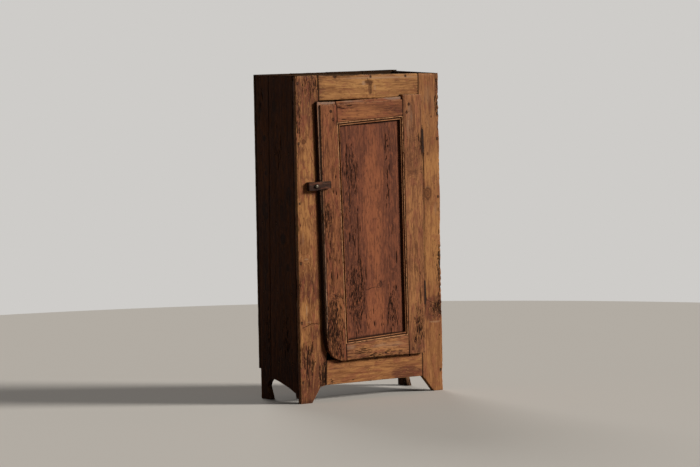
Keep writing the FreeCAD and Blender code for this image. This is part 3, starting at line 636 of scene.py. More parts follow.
def worn_depth(board, points, places, seed):
    """How far an arris at each point is worn back, in millimetres."""
    depth = board.wear * (0.45 + 0.55 * lumps(points, (34, 34, 34), seed))
    depth += board.wear * 0.35 * lumps(points, (9, 9, 9), seed + 1)
    depth = np.clip(depth, 0.05, None)
    for bite in board.bites:
        gnawed = 0.55 + 0.6 * lumps(points, (15, 15, 15), seed + 2)
        gnawed = gnawed + 0.45 * lumps(points, (5, 5, 5), seed + 3)
        depth += oval(board, places, bite) * bite.amount * np.clip(gnawed, 0.1, None)
    return depth


@functools.cache
def search_tree(node):
    """A node's solid, set out for finding its nearest point."""
    solid = bmesh.new()
    solid.from_mesh(frame["nodes"][node].data)
    tree = BVHTree.FromBMesh(solid)
    solid.free()
    return tree


def crevices(node, points):
    """How close each point is to another solid that stays by it: over 1 where they touch."""
    shut = np.zeros(len(points))
    low, high = (np.array(end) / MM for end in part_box(node))
    for other in frame["nodes"]:
        start, end = (np.array(corner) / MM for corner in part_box(other))
        apart = np.any(start > high + CREVICE_REACH) or np.any(end < low - CREVICE_REACH)
        if other in (node, "turn_button") or apart:
            continue
        inside = (points > start - CREVICE_REACH) & (points < end + CREVICE_REACH)
        for index in np.nonzero(np.all(inside, axis=1))[0]:
            gap = search_tree(other).find_nearest(Vector(points[index]) * MM, CREVICE_REACH * MM)[3]
            if gap is not None:
                shut[index] = max(shut[index], 1.2 * math.exp(-gap / MM / CREVICE_FADE))
    return shut


def cut_grid(solid, board):
    """Cut the whole board across its grain, and its shown faces along it."""
    along = board.lay.row[2].copy()
    across = board.lay.row[0].copy()
    sliced(solid, list(solid.faces), along, steps(solid, along, board.spacing[1]))
    for way in board.faces:
        shown = [face for face in solid.faces if face.normal.dot(way) > 0.6]
        sliced(solid, shown, across, steps(solid, across, board.spacing[0]))


def nearest_arris(points, ends, inwards):
    """How far off the nearest arris of each point is, and that arris's way into the wood."""
    nearest = np.full(len(points), 1e9)
    inward = np.zeros((len(points), 3))
    for (start, end), way in zip(ends, inwards):
        span = end - start
        share = np.clip((points - start) @ span / (span @ span), 0, 1)
        gap = np.linalg.norm(points - start - share[:, None] * span, axis=1)
        closer = gap < nearest
        nearest[closer] = gap[closer]
        inward[closer] = way
    return nearest, inward


def facing_out(board, normals):
    """Which points lie on the board's shown faces."""
    facing = np.zeros(len(normals), bool)
    for way in board.faces:
        facing |= normals @ np.array(way) > 0.8
    return facing


def worn_board(name, node, finish, board, seed):
    """A board worked from a node's solid: arrises eased and rubbed pale, partly as a painted highlight,
    faces worn and eaten.
    """
    solid = merged(node)
    if board.sawn:
        saw_off(solid, *board.sawn)
    sharp = arrises(solid)
    ends = np.array([[edge.verts[0].co, edge.verts[1].co] for edge in sharp]) / MM
    inwards = np.array([-(edge.link_faces[0].normal + edge.link_faces[1].normal).normalized()
                        for edge in sharp])
    rounded(solid, sharp, ARRIS_EASING)
    solid.normal_update()
    cut_grid(solid, board)

    points, normals = points_of(solid)
    places = points @ np.array(board.lay).T
    facing = facing_out(board, normals)
    nearest, inward = nearest_arris(points, ends, inwards)
    close = np.nonzero(nearest < WEAR_REACH)[0]
    depth = np.zeros(len(points))
    depth[close] = worn_depth(board, points[close], places[close], seed)
    reach = np.clip(depth * WEAR_SPREAD, 3, WEAR_REACH)
    falling = np.clip(1 - nearest / reach, 0, 1) ** 2
    bowed = board.bow * (0.5 + 0.5 * lumps(points, (55, 55, 170), seed + 4))
    track_depth, tracks = hollows(board, places, facing)
    moved = points + inward * (depth * falling)[:, None]
    moved -= normals * (bowed * facing + track_depth)[:, None]
    move(solid, moved)

    # Closeness to other pieces darkens the wood: dirt in the joints, and painted contact shade
    shut = crevices(node, points)
    # A face turned from the light is painted black as shade
    if board.dirty_side:
        shut += 0.9 * (normals @ np.array(board.dirty_side) > 0.93)
    marks = {
        "tint": amounts(board, places, board.patches),
        "eaten": np.clip(amounts(board, places, board.eaten), 0, 1.3) * facing,
        "grime": np.clip(amounts(board, places, board.grime) * 0.8 + shut, 0, 1.2),
        "bleached_and_highlit": np.clip(amounts(board, places, board.bleached_and_highlit), 0, 1),
        "tracks": tracks,
        "rubbed_and_highlit": np.exp(-nearest / (1.9 + 0.7 * depth)) * (1 - eased(shut * 2.5)),
    }
    return finished(name, solid, finish, [node], marks)


def finished(name, solid, finish, nodes, marks=None):
    """The object of a solid, riding with the nodes that it stands for."""
    solid.faces.sort(key=lambda face: face.calc_center_median().dot(SORTING_WAY))
    solid.normal_update()
    mesh = bpy.data.meshes.new(name)
    solid.to_mesh(mesh)
    solid.free()
    mesh.shade_smooth()
    mesh.set_sharp_from_angle(angle=math.radians(CREASE_ANGLE))
    for mark, values in (marks or {}).items():
        layer = mesh.attributes.new(mark, "FLOAT", "POINT")
        layer.data.foreach_set("value", values.astype(np.float32))
    mesh.materials.append(finish)
    piece = bpy.data.objects.new(name, mesh)
    bpy.context.scene.collection.objects.link(piece)
    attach(piece, frame["nodes"][nodes[0]]["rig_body"])
    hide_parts(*nodes)
    return piece


# Face frame

FRAME_TONES = Tones((176, 121, 77), (114, 68, 40), (190, 134, 82), (98, 55, 42), (22, 9, 5), (144, 82, 60))
RAIL_TONES = Tones((185, 132, 83), (130, 83, 48), (202, 149, 93), (104, 66, 43), (26, 12, 6))
DOOR_TONES = Tones(
    (158, 99, 66), (94, 53, 33), (178, 117, 74), (84, 46, 34), (20, 8, 4), (142, 78, 58), (160, 132, 114))
RUBBED_DOOR_TONES = Tones(
    (168, 112, 75), (100, 60, 38), (189, 132, 84), (89, 52, 39), (20, 8, 4), (148, 88, 65), (168, 140, 120))


def lip_edge(height):
    """The door's left edge, from the cupboard's left edge, which leans a little."""
    return 92 + (1120 - height) * 0.0216


def left_stile():
    wood = pine(
        "left stile pine", UPRIGHT, FRAME_TONES, 1, heart=(LEFT + 30, FRONT + 62), slope=0.012, rough=1.5,
        cracks=[
            crack(14, 283, 50, 296, 2.2), crack(50, 296, 84, 294, 2.6, 0.7),
            crack(8, 690, 12, 560, 1.6, 0.6), crack(56, 470, 70, 400, 2.2, 0.5),
            crack(55, 228, 54, 192, 3.2, 1.0), crack(33, 196, 28, 104, 2.4, 0.9),
            crack(47, 160, 52, 96, 2.0, 0.8),
        ],
        knots=[
            knot(33, 974, 8, 9, 0.95, 1.2), knot(38, 537, 14, 8, 0.12, 1.4),
            knot(12, 665, 3, 4, 0.9, 1.0),
        ])
    # The door's shadow on the stile, painted dark, wider towards the floor
    door_shadow = [patch(lip_edge(height) - 2, height, 17 + (1120 - height) * 0.015, 100, 0.36)
                   for height in range(220, 1120, 60)]
    board = Board(
        UPRIGHT, [TO_FRONT],
        patches=[
            patch(45, 1130, 90, 150, -0.75), patch(60, 880, 60, 100, 0.5), patch(30, 700, 60, 110, 0.8),
            patch(50, 430, 70, 90, -0.9), patch(26, 350, 24, 56, 1.4), patch(66, 262, 34, 34, -0.9),
            patch(20, 240, 20, 50, 0.8), patch(62, 150, 16, 80, 0.9), patch(50, 60, 110, 210, -0.9),
        ],
        tracks=[
            track(36, 1176, 30, 1.4), track(44, 1186, 20, 1.2), track(60, 1168, 40, 1.5),
            track(67, 1150, 26, 1.2), track(78, 1192, 20, 1.3), track(91, 1188, 26, 1.5),
            track(27, 1060, 34, 1.2), track(54, 208, 30, 2.6), track(31, 142, 82, 2.2),
            track(54, 130, 44, 1.8), track(112, 100, 60, 2.4),
        ],
        eaten=[
            patch(70, 1180, 60, 70, 0.8), patch(104, 100, 34, 90, 1.1), patch(36, 150, 46, 120, 0.85),
            patch(0, 420, 24, 60, 0.8), patch(10, 1050, 22, 160, 0.7),
        ],
        strewn=[(patch(106, 100, 14, 55, 1), 16), (patch(38, 150, 30, 80, 1), 18)],
        bleached_and_highlit=[
            patch(33, 345, 5, 34, 0.8), patch(36, 538, 16, 6, 0.9), patch(22, 610, 8, 60, 0.5),
            patch(40, 303, 26, 4, 0.7),
        ],
        bites=[
            patch(50, 1220, 90, 16, 4.0), patch(0, 1215, 20, 24, 4.0), patch(0, 1090, 16, 90, 2.6),
            patch(0, 665, 14, 40, 2.4), patch(0, 430, 16, 60, 4.0), patch(0, 210, 16, 70, 2.6),
            patch(0, 50, 18, 60, 3.0),
        ],
        grime=[
            patch(116, 110, 20, 90, 0.6), patch(45, 0, 70, 26, 0.7), patch(50, 1230, 80, 20, 0.75),
            *door_shadow,
        ],
        wear=1.2)
    worn_board("frame_left_stile_worn", "stile_left", wood, board, 1)


def right_stile():
    wood = pine(
        "right stile pine", UPRIGHT, FRAME_TONES, 2, heart=(LEFT + 590, FRONT + 70), slope=0.016, rough=0.9,
        contrast=0.7,
        cracks=[
            crack(583, 1020, 589, 930, 3.4, 0.9), crack(589, 930, 586, 850, 2.4, 0.8),
            crack(586, 420, 590, 350, 3.0, 0.9), crack(594, 352, 640, 330, 2.2, 0.6),
            crack(600, 296, 628, 288, 2.0, 0.5), crack(640, 328, 664, 338, 2.4, 0.7),
            crack(586, 780, 602, 770, 1.8, 0.5),
        ],
        knots=[
            knot(606, 760, 17, 25, 0.75), knot(640, 322, 13, 9, 0.8, 1.2),
            knot(628, 1053, 4, 4, 0.9, 1.0), knot(608, 912, 3, 6, 0.8, 1.0),
        ])
    board = Board(
        UPRIGHT, [TO_FRONT, TO_RIGHT],
        patches=[
            patch(610, 1150, 70, 100, -0.35), patch(625, 560, 60, 200, 0.75),
            patch(632, 850, 60, 90, 0.6), patch(626, 318, 66, 62, -1.2), patch(620, 150, 90, 120, 0.1),
        ],
        tracks=[track(654, 1184, 26, 2.4), track(645, 1118, 22, 2.0), track(588, 375, 60, 1.6)],
        eaten=[
            patch(660, 1100, 26, 120, 1.0), patch(640, 520, 40, 110, 0.5),
            patch(660, 420, 26, 150, 0.7), patch(636, 320, 50, 50, 0.9),
        ],
        strewn=[
            (patch(652, 1100, 9, 80, 1), 14), (patch(654, 480, 9, 190, 1), 30),
            (patch(640, 315, 22, 30, 1), 12),
        ],
        bites=[
            patch(612, 1220, 80, 16, 4.0), patch(665, 1090, 26, 130, 5.5),
            patch(665, 480, 26, 250, 4.2), patch(665, 850, 20, 90, 2.4), patch(665, 60, 20, 60, 3.0),
        ],
        grime=[
            patch(587, 375, 7, 60, 0.6), patch(587, 950, 8, 80, 0.6), patch(587, 640, 7, 620, 0.7),
            patch(662, 320, 14, 60, 0.5), patch(620, 1230, 90, 16, 0.75), patch(654, 1214, 24, 30, 0.6),
        ],
        bleached_and_highlit=[
            patch(632, 266, 50, 7, 0.7), patch(606, 786, 22, 5, 0.7), patch(640, 700, 12, 50, 0.5),
            patch(618, 1090, 60, 150, 0.42),
        ],
        wear=1.2)
    worn_board("frame_right_stile_worn", "stile_right", wood, board, 2)


def top_rail():
    wood = pine(
        "top rail pine", CROSSWISE, RAIL_TONES, 3, heart=(1150, FRONT + 80), slope=0.01,
        cracks=[
            crack(341, 1178, 345, 1150, 7, 0.35), crack(322, 1192, 350, 1190, 8, 0.4),
            crack(330, 1204, 338, 1186, 4, 0.5), crack(356, 1196, 346, 1178, 4, 0.4),
        ],
        knots=[knot(334, 1189, 8, 17, 0.4, 1.4), knot(341, 1164, 20, 8, 0.75, 1.4)])
    board = Board(
        CROSSWISE, [TO_FRONT],
        patches=[
            patch(330, 1170, 60, 170, 0.5), patch(112, 1170, 60, 26, -0.6),
            patch(336, 1188, 14, 30, -1.2), patch(344, 1150, 14, 16, -0.7),
        ],
        eaten=[patch(560, 1150, 50, 20, 0.5)],
        bleached_and_highlit=[
            patch(400, 1206, 6, 300, 0.9), patch(312, 1186, 14, 14, 0.8), patch(364, 1170, 18, 10, 0.7),
        ],
        grime=[
            patch(106, 1160, 60, 10, 0.5), patch(330, 1224, 10, 420, 0.9),
            patch(190, 1222, 18, 130, 0.7),
        ],
        bites=[patch(330, 1220, 16, 420, 3.4)],
        wear=1.0)
    worn_board("frame_top_rail_worn", "frame_rail_top", wood, board, 3)


def bottom_rail():
    wood = pine(
        "bottom rail pine", CROSSWISE, FRAME_TONES, 4, heart=(100, FRONT + 60), slope=0.014, contrast=0.8)
    board = Board(
        CROSSWISE, [TO_FRONT],
        patches=[
            patch(330, 105, 60, 130, 0.4), patch(488, 80, 34, 90, -1.4), patch(520, 132, 16, 70, 0.9),
            patch(150, 120, 40, 60, -0.2),
        ],
        tracks=[track(240, 72, 12, 2.0), track(143, 75, 16, 2.2)],
        eaten=[patch(140, 75, 16, 26, 0.8)],
        grime=[patch(340, 156, 8, 260, 0.8)],
        wear=1.3)
    worn_board("frame_bottom_rail_worn", "frame_rail_bottom", wood, board, 4)


# Door


def lock_stile():
    wood = pine(
        "lock stile pine", UPRIGHT, DOOR_TONES, 5, heart=(LEFT + 130, FRONT + 36), slope=0.012, rough=1.5,
        cracks=[crack(140, 402, 186, 384, 2.2, 0.8), crack(134, 388, 168, 372, 1.8, 0.6)],
        knots=[knot(158, 392, 20, 7, 0.5), knot(150, 865, 8, 9, 0.4)])
    rot = [patch(142, 270, 60, 190, 1.15), patch(122, 690, 40, 120, 0.8)]
    # A painted highlight along the lip's lit ledge, down the door's left edge
    lip_highlight = [patch(lip_edge(height), height, 7, 90, 0.7) for height in range(300, 1120, 80)]
    # Painted shade along the shaded step beside the lip, down the door's left edge
    quirk_shade = [patch(lip_edge(height) + 5 + (height - 240) * 0.009, height, 3.2, 60, 0.5)
             for height in range(240, 1110, 40)]
    board = Board(
        UPRIGHT, [TO_FRONT],
        patches=[
            patch(130, 1010, 50, 90, 0.1), patch(172, 320, 22, 110, 0.9),
            patch(140, 560, 50, 130, 0.15), patch(118, 260, 40, 140, -0.4),
        ],
        tracks=[
            track(161, 840, 16, 2.2), track(148, 788, 26, 2.2), track(164, 778, 16, 1.8),
            track(128, 735, 24, 2.0), track(131, 590, 30, 1.8), track(128, 545, 34, 1.8),
            track(136, 455, 60, 1.8), track(178, 250, 54, 2.6), track(171, 183, 44, 3.0, 2.2),
        ],
        eaten=rot + [patch(182, 640, 14, 110, 0.7), patch(140, 560, 40, 60, 0.6)],
        strewn=[(rot[0], 64), (patch(112, 680, 14, 50, 1), 12), (patch(150, 500, 40, 70, 1), 7)],
        grime=[
            patch(100, 200, 24, 90, 0.7), patch(170, 1040, 30, 14, 0.5), patch(146, 1084, 6, 6, 1.3),
            patch(156, 1054, 6, 6, 1.3), *quirk_shade,
        ],
        # the door's left edge, turned from the light, is painted black as shade
        dirty_side=TO_LEFT,
        # painted highlights along the door's top edge and along the lip
        bleached_and_highlit=[patch(128, 1116, 60, 9, 1.0), *lip_highlight],
        bites=[patch(105, 190, 24, 90, 2.4), patch(150, 150, 60, 14, 2.0)],
        spacing=(1.8, 4.5), wear=1.4)
    worn_board("door_lock_stile_worn", "door_stile_lock", wood, board, 5)


def hinge_stile():
    wood = pine(
        "hinge stile pine", UPRIGHT, RUBBED_DOOR_TONES, 6,
        heart=(LEFT + 530, FRONT + 60), slope=0.014, rough=1.2,
        knots=[knot(520, 905, 26, 34, 0.2, 2.2)])
    board = Board(
        UPRIGHT, [TO_FRONT],
        patches=[
            patch(520, 1000, 70, 160, -0.15), patch(525, 700, 60, 160, 0.45),
            patch(520, 380, 50, 160, 0.4), patch(525, 170, 60, 40, -0.5),
        ],
        tracks=[
            track(531, 246, 26, 2.6), track(521, 212, 16, 2.2), track(548, 372, 70, 2.0),
            track(552, 978, 36, 2.2),
        ],
        eaten=[
            patch(540, 260, 40, 120, 0.8), patch(552, 960, 20, 60, 0.7), patch(540, 480, 26, 60, 0.5),
        ],
        strewn=[(patch(540, 250, 26, 80, 1), 18)],
        grime=[
            patch(566, 960, 12, 80, 0.9), patch(572, 650, 9, 640, 1.0), patch(507, 1103, 6, 6, 1.3),
            patch(497, 1073, 6, 6, 1.3),
        ],
        bleached_and_highlit=[patch(510, 1040, 30, 120, 0.5)],
        bites=[patch(530, 163, 60, 12, 1.8)],
        spacing=(2.4, 5.0), wear=1.1)
    worn_board("door_hinge_stile_worn", "door_stile_hinge", wood, board, 6)


def door_top_rail():
    wood = pine("door top rail pine", CROSSWISE, DOOR_TONES, 7, heart=(1060, FRONT + 50), slope=0.01)
    board = Board(
        CROSSWISE, [TO_FRONT],
        patches=[patch(280, 1080, 50, 120, 0.55), patch(460, 1100, 50, 60, -0.35)],
        tracks=[track(195, 1099, 40, 1.4), track(230, 1104, 26, 1.2), track(205, 1052, 30, 1.2)],
        eaten=[patch(210, 1095, 30, 50, 0.6)],
        # painted highlights along the door's lit top edge
        bleached_and_highlit=[patch(440, 1128, 9, 70, 1.0), patch(250, 1120, 7, 90, 0.6)],
        wear=1.0)
    worn_board("door_top_rail_worn", "door_rail_top", wood, board, 7)


def door_bottom_rail():
    wood = pine(
        "door bottom rail pine", CROSSWISE, RUBBED_DOOR_TONES, 8,
        heart=(190, FRONT + 50), slope=0.012, rough=1.4)
    rot = patch(270, 182, 22, 70, 0.9)
    board = Board(
        CROSSWISE, [TO_FRONT],
        patches=[patch(360, 190, 50, 150, 0.8), patch(205, 180, 40, 30, -0.4)],
        eaten=[rot, patch(370, 160, 16, 140, 0.7)],
        strewn=[(patch(380, 165, 10, 90, 1), 9)],
        bites=[patch(330, 150, 20, 170, 3.2)],
        grime=[patch(340, 150, 10, 190, 0.7)],
        bleached_and_highlit=[patch(390, 196, 20, 130, 0.5), patch(210, 200, 16, 50, 0.5)],
        spacing=(2.0, 4.5), wear=1.3)
    worn_board("door_bottom_rail_worn", "door_rail_bottom", wood, board, 8)


def panel():
    tones = Tones((134, 80, 58), (88, 50, 37), (164, 99, 66), (78, 44, 33), (20, 9, 5))
    wood = pine(
        "panel pine", UPRIGHT, tones, 9, heart=(LEFT + 345, FRONT + 30), ring=4.2, slope=0.006, rough=1.4,
        cracks=[
            crack(300, 408, 338, 416, 2.0, 0.9), crack(338, 416, 370, 414, 1.8, 0.8),
            crack(366, 440, 378, 424, 1.6, 0.7), crack(282, 470, 272, 640, 1.5, 0.7),
        ],
        knots=[knot(370, 428, 8, 11, 0.85)])
    left_rot = [patch(240, 860, 52, 130, 0.85), patch(236, 650, 50, 130, 0.4),
                patch(256, 390, 60, 190, 1.0)]
    right_rot = [patch(425, 320, 40, 110, 0.9), patch(410, 960, 18, 60, 0.8),
                 patch(410, 800, 18, 80, 0.5)]
    board = Board(
        UPRIGHT, [TO_FRONT],
        patches=[
            patch(340, 700, 62, 380, 0.85), patch(345, 330, 60, 140, 0.95),
            patch(225, 650, 60, 520, -0.55), patch(440, 700, 46, 420, -0.35),
            patch(270, 310, 26, 50, -0.7),
        ],
        tracks=[
            track(302, 470, 52, 2.4, 2.0), track(402, 968, 62, 2.2, 1.8), track(410, 840, 44, 1.8),
            track(412, 770, 44, 2.0), track(427, 625, 34, 1.8), track(447, 524, 52, 2.8, 2.0),
            track(278, 512, 42, 2.6, 2.0), track(268, 560, 240, 1.5), track(246, 476, 34, 2.2),
            track(281, 470, 60, 1.8), track(220, 865, 80, 2.0), track(240, 835, 70, 1.8),
            track(267, 868, 60, 1.8), track(233, 752, 56, 2.2), track(267, 670, 60, 1.6),
            track(214, 700, 50, 1.8), track(228, 610, 44, 2.0), track(252, 585, 36, 1.8),
        ],
        eaten=left_rot + right_rot,
        strewn=[
            (left_rot[0], 22), (left_rot[1], 12), (left_rot[2], 52), (right_rot[0], 38),
            (right_rot[1], 8), (right_rot[2], 8), (patch(330, 290, 110, 50, 1), 16),
        ],
        grime=[
            patch(330, 1050, 200, 26, 1.0), patch(190, 640, 18, 560, 0.8),
            patch(478, 640, 18, 560, 0.8), patch(330, 232, 190, 14, 0.6),
        ],
        spacing=(2.0, 5.0), wear=0.2, bow=0.6)
    worn_board("door_panel_worn", "door_panel", wood, board, 9)


def corner(node, way_x, way_z):
    """The corner of a node that lies farthest left or right and up or down."""
    verts = frame["nodes"][node].data.vertices
    return max((vert.co for vert in verts), key=lambda spot: spot.x * way_x + spot.z * way_z).copy()


# A planted moulding's section: across from the door's joint, and out from the panel
MOULDING_SECTION = [
    (0.0, 0.0), (0.0, 9.2), (0.6, 10.1), (2.2, 10.4), (3.8, 10.1), (4.6, 9.0), (5.0, 6.0),
    (5.8, 4.6), (8.4, 4.6), (9.1, 7.4), (9.8, 9.0), (11.0, 9.6), (12.2, 9.1), (13.2, 7.2),
    (13.8, 3.6), (13.9, 0.0),
]
MOULDING_SPARE = 30
MOULDING_CREST = 8.6


def swept_moulding(start, end, across, back):
    """The moulding's section, run a little past both ends."""
    spare = (end - start).normalized() * MOULDING_SPARE * MM
    strip = bmesh.new()
    near, far = [], []
    for section, place in ((near, start - spare), (far, end + spare)):
        for aside, proud in MOULDING_SECTION:
            spot = place + across * aside * MM
            section.append(strip.verts.new((spot.x, back - proud * MM, spot.z)))
        strip.faces.new(section)
    for index in range(len(near)):
        strip.faces.new((near[index - 1], near[index], far[index], far[index - 1]))
    return strip


def moulding(name, node, start_way, end_way, inwards, finish, seed):
    """A strip of moulding between two mitres, run along one edge of the panel."""
    start = corner(node, *start_way)
    end = corner(node, *end_way)
    run = (end - start).normalized()
    across = (inwards - run * inwards.dot(run)).normalized()
    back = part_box(node)[1].y
    strip = swept_moulding(start, end, across, back)
    for place, out_way in ((start, start_way), (end, end_way)):
        mitre = Vector((out_way[0], 0, out_way[1])).normalized()
        cut_way = mitre.cross(TO_FRONT)
        if cut_way.dot(run) * (1 if place is end else -1) < 0:
            cut_way = -cut_way
        saw_off(strip, place, cut_way, CUT_SLACK)
    bmesh.ops.recalc_face_normals(strip, faces=strip.faces)
    sliced(strip, list(strip.faces), run, steps(strip, run, 6))
    points, normals = points_of(strip)
    uneven = 0.22 * (1 + lumps(points, (30, 30, 30), seed)) + 0.2 * (1 + lumps(points, (8, 8, 8), seed + 1))
    height = back / MM - points[:, 1]
    move(strip, points - normals * (uneven * (height > 1))[:, None])
    # Painted light on the section: raised parts golden and crests pale as painted highlights, hollows
    # darkened as painted shade
    marks = {
        "tint": 0.5 * eased((height - 7) / 3),
        "rubbed_and_highlit": eased((height - MOULDING_CREST) / 1.6) * 0.8,
        "grime": np.clip((MOULDING_CREST - height) / 1.6, 0, 1.2),
        "eaten": np.clip(lumps(points, (60, 60, 60), seed + 2), 0, 1),
        "tracks": np.zeros(len(points)),
    }
    return finished(name, strip, finish, [node], marks)


def mouldings():
    # Paler tones than the frame's, so that the beads read as lit: partly a painted highlight
    tones = Tones((196, 132, 90), (142, 88, 58), (216, 156, 110), (124, 74, 50), (14, 6, 3), (168, 104, 74))
    upright = pine("upright moulding pine", UPRIGHT, tones, 10, heart=(0, 160), contrast=0.6)
    level = pine("level moulding pine", CROSSWISE, tones, 11, heart=(600, 160), contrast=0.6)
    up_left, up_right, low_left, low_right = (-1, 1), (1, 1), (-1, -1), (1, -1)
    moulding("moulding_top_run", "moulding_top", up_left, up_right, -UP, level, 21)
    moulding("moulding_bottom_run", "moulding_bottom", low_left, low_right, UP, level, 22)
    moulding("moulding_lock_run", "moulding_lock_side", low_left, up_left, TO_RIGHT, upright, 23)
    moulding("moulding_hinge_run", "moulding_hinge_side", low_right, up_right, TO_LEFT, upright, 24)


# Carcase

# The sides' own darker pine, darkened further as painted shade
SIDE_TONES_WITH_SHADE = Tones(
    (90, 50, 26), (46, 24, 13), (108, 63, 32), (32, 17, 11), (9, 5, 3), (66, 34, 20), (112, 72, 46))
INSIDE_TONES = Tones(
    (158, 122, 84), (118, 84, 54), (172, 138, 98), (98, 74, 54), (34, 22, 14), (148, 108, 76))
BACK_TONES = Tones(
    (126, 93, 66), (90, 64, 45), (140, 108, 79), (74, 54, 41), (26, 16, 10), (116, 80, 57))
TOP_TONES = Tones(
    (124, 98, 74), (94, 72, 53), (140, 112, 84), (80, 62, 48), (26, 17, 11), (112, 82, 60))


def side_knots(side, part, middle, chance):
    """The knots of one side board: those of the left side are set, the others fall where they may."""
    if (side, part) == ("left", "front"):
        return [knot(99, 611, 14, 17, on=on_side), knot(73, 506, 9, 12, on=on_side),
                knot(145, 1106, 10, 22, on=on_side)]
    if (side, part) == ("left", "rear"):
        return [knot(211, 986, 9, 10, on=on_side), knot(207, 855, 6, 8, on=on_side),
                knot(236, 1092, 8, 10, on=on_side)]
    return [knot(middle + chance.uniform(-40, 40), height + chance.uniform(-120, 120),
                 chance.uniform(7, 14), chance.uniform(10, 20), 0.85, on=on_side)
            for height in (280, 620, 980)]


def side_board(side, part, middle, out, seed):
    chance = random.Random(seed)
    low = patch(middle + chance.uniform(-40, 30), chance.uniform(90, 330), 34, 120, 0.85, on_side)
    high = patch(middle + chance.uniform(-30, 40), chance.uniform(900, 1150), 34, 90, 0.65, on_side)
    wood = pine(
        "%s %s side pine" % (side, part), SIDEWAYS, SIDE_TONES_WITH_SHADE, seed,
        heart=(FRONT + middle, 380 if side == "left" else -380), slope=0.014, sheen=0.03,
        contrast=1.25, rough=1.35, knots=side_knots(side, part, middle, chance))
    board = Board(
        SIDEWAYS, [out],
        patches=[
            patch(middle, 900, 60, 260, 0.3, on_side), patch(middle, 120, 110, 160, -0.6, on_side),
            patch(middle + 20, 560, 50, 160, -0.3, on_side), patch(middle - 42, 775, 24, 44, -1.5, on_side),
            patch(middle - 6, 720, 30, 50, -1.5, on_side), patch(middle - 82, 1000, 16, 130, -1.6, on_side),
        ],
        eaten=[low, high], strewn=[(low, 16), (high, 9)], grime=[patch(150, 0, 200, 40, 0.7, on_side)],
        spacing=(4.0, 7.0), wear=1.3)
    node = "side_%s_%s" % (side, part)
    worn_board(node + "_worn", node, wood, board, seed)


def side_boards():
    side_board("left", "front", 100, TO_LEFT, 12)
    side_board("left", "rear", 220, TO_LEFT, 13)
    side_board("right", "front", 100, TO_RIGHT, 14)
    side_board("right", "rear", 220, TO_RIGHT, 15)


def level_boards():
    nodes = ("top_board", "bottom_board", "shelf_lower", "shelf_middle", "shelf_upper")
    for number, node in enumerate(nodes):
        seed = 20 + number
        tones, slot = (INSIDE_TONES, "pine_inside") if number else (TOP_TONES, "pine_side")
        wood = pine(
            node.replace("_", " ") + " pine", LEVEL, tones, seed, heart=(20, -60 - 300 * number),
            knots=[knot(-120 + 90 * number, 20, 9, 15, 0.7, on=on_level),
                   knot(190 - 70 * number, -50, 7, 11, 0.7, on=on_level)],
            wax=0.15, sheen=0.0)
        board = Board(
            LEVEL, [UP], patches=[patch(0, 0, 90, 300, 0.3, on_level)],
            grime=[patch(0, 142, 26, 360, 0.6, on_level)], spacing=(7.0, 9.0), wear=0.8)
        worn_board(node + "_worn", node, wood, board, seed)


def battens():
    wood = pine("batten pine", ENDWAYS, INSIDE_TONES, 27, heart=(60, 60), wax=0.1)
    board = Board(ENDWAYS, [], spacing=(9.0, 9.0), wear=0.7)
    for side in ("left", "right"):
        for number in range(1, 5):
            node = "batten_%s_%d" % (side, number)
            worn_board(node + "_worn", node, wood, board, 30 + number)


def back_slope():
    """The line along which the back boards' tops are sawn: a spot on it and its way up."""
    low, high = (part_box("back_board_%d" % end)[1] / MM for end in (1, 4))
    rise = (high.z - low.z) / (high.x - low.x)
    return (high + Vector((-30, 0, 0))) * MM, Vector((-rise, 0, 1)).normalized()


def back_board(number):
    node = "back_board_%d" % number
    seed = 40 + number
    centre = (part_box(node)[0].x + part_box(node)[1].x) / 2 / MM
    chance = random.Random(seed)
    gnawed = patch(centre + chance.uniform(-50, 50), chance.uniform(130, 420), 40, 110, 0.8, on_back)
    wood = pine(
        "back board %d pine" % number, UPRIGHT, BACK_TONES, seed, heart=(centre + 10 * number - 25, 230),
        wax=0.05, slope=0.02, sheen=0.02,
        knots=[knot(centre + chance.uniform(-50, 50), height + chance.uniform(-160, 160),
                    chance.uniform(7, 13), chance.uniform(10, 18), 0.85, on=on_back)
               for height in (340, 740, 1040)])
    board = Board(
        UPRIGHT, [TO_BACK], sawn=back_slope(),
        patches=[patch(centre, 1150, 80, 140, -0.4, on_back), patch(centre, 500, 70, 300, 0.3, on_back)],
        eaten=[gnawed], strewn=[(gnawed, 14)], grime=[patch(centre, 1228, 160, 36, 1.0, on_back)],
        bites=[patch(centre, 1232, 120, 12, 1.6, on_back)], spacing=(6.0, 8.0), wear=1.2)
    worn_board(node + "_worn", node, wood, board, seed)


# Turn button, pegs and ironwork


def rough_iron(name, dark, rust, share, shine):
    """Forged or cut iron: dark scale with rust coming through."""
    finish = Finish(name)
    place = finish.place(UPRIGHT)
    scale = finish.cloud(place, (3.5, 3.5, 3.5), 4.0)
    spots = finish.cloud(place, (1.1, 1.1, 1.1), 2.0)
    rusty = (scale + (spots - 0.5) * 0.6).past(share - 0.12, share + 0.12)
    colour = finish.mix(rusty, shade(*dark), shade(*rust))
    colour = finish.mix(spots.past(0.6, 0.75) * 0.5, colour, shade(30, 22, 18))
    metal = (1 - rusty * 0.9) * shine
    roughness = rusty * 0.35 + 0.42 + (spots - 0.5) * 0.2
    return finish.surface(
        Base_Color=colour, Metallic=metal, Roughness=roughness, Specular_IOR_Level=0.2,
        Normal=finish.relief(scale * 0.6 + spots * 0.4, 0.25, 0.8))


def eased_piece(name, node, finish, width):
    """A small piece with its sharp edges rounded."""
    solid = merged(node)
    rounded(solid, arrises(solid), width)
    finished(name, solid, finish, [node])


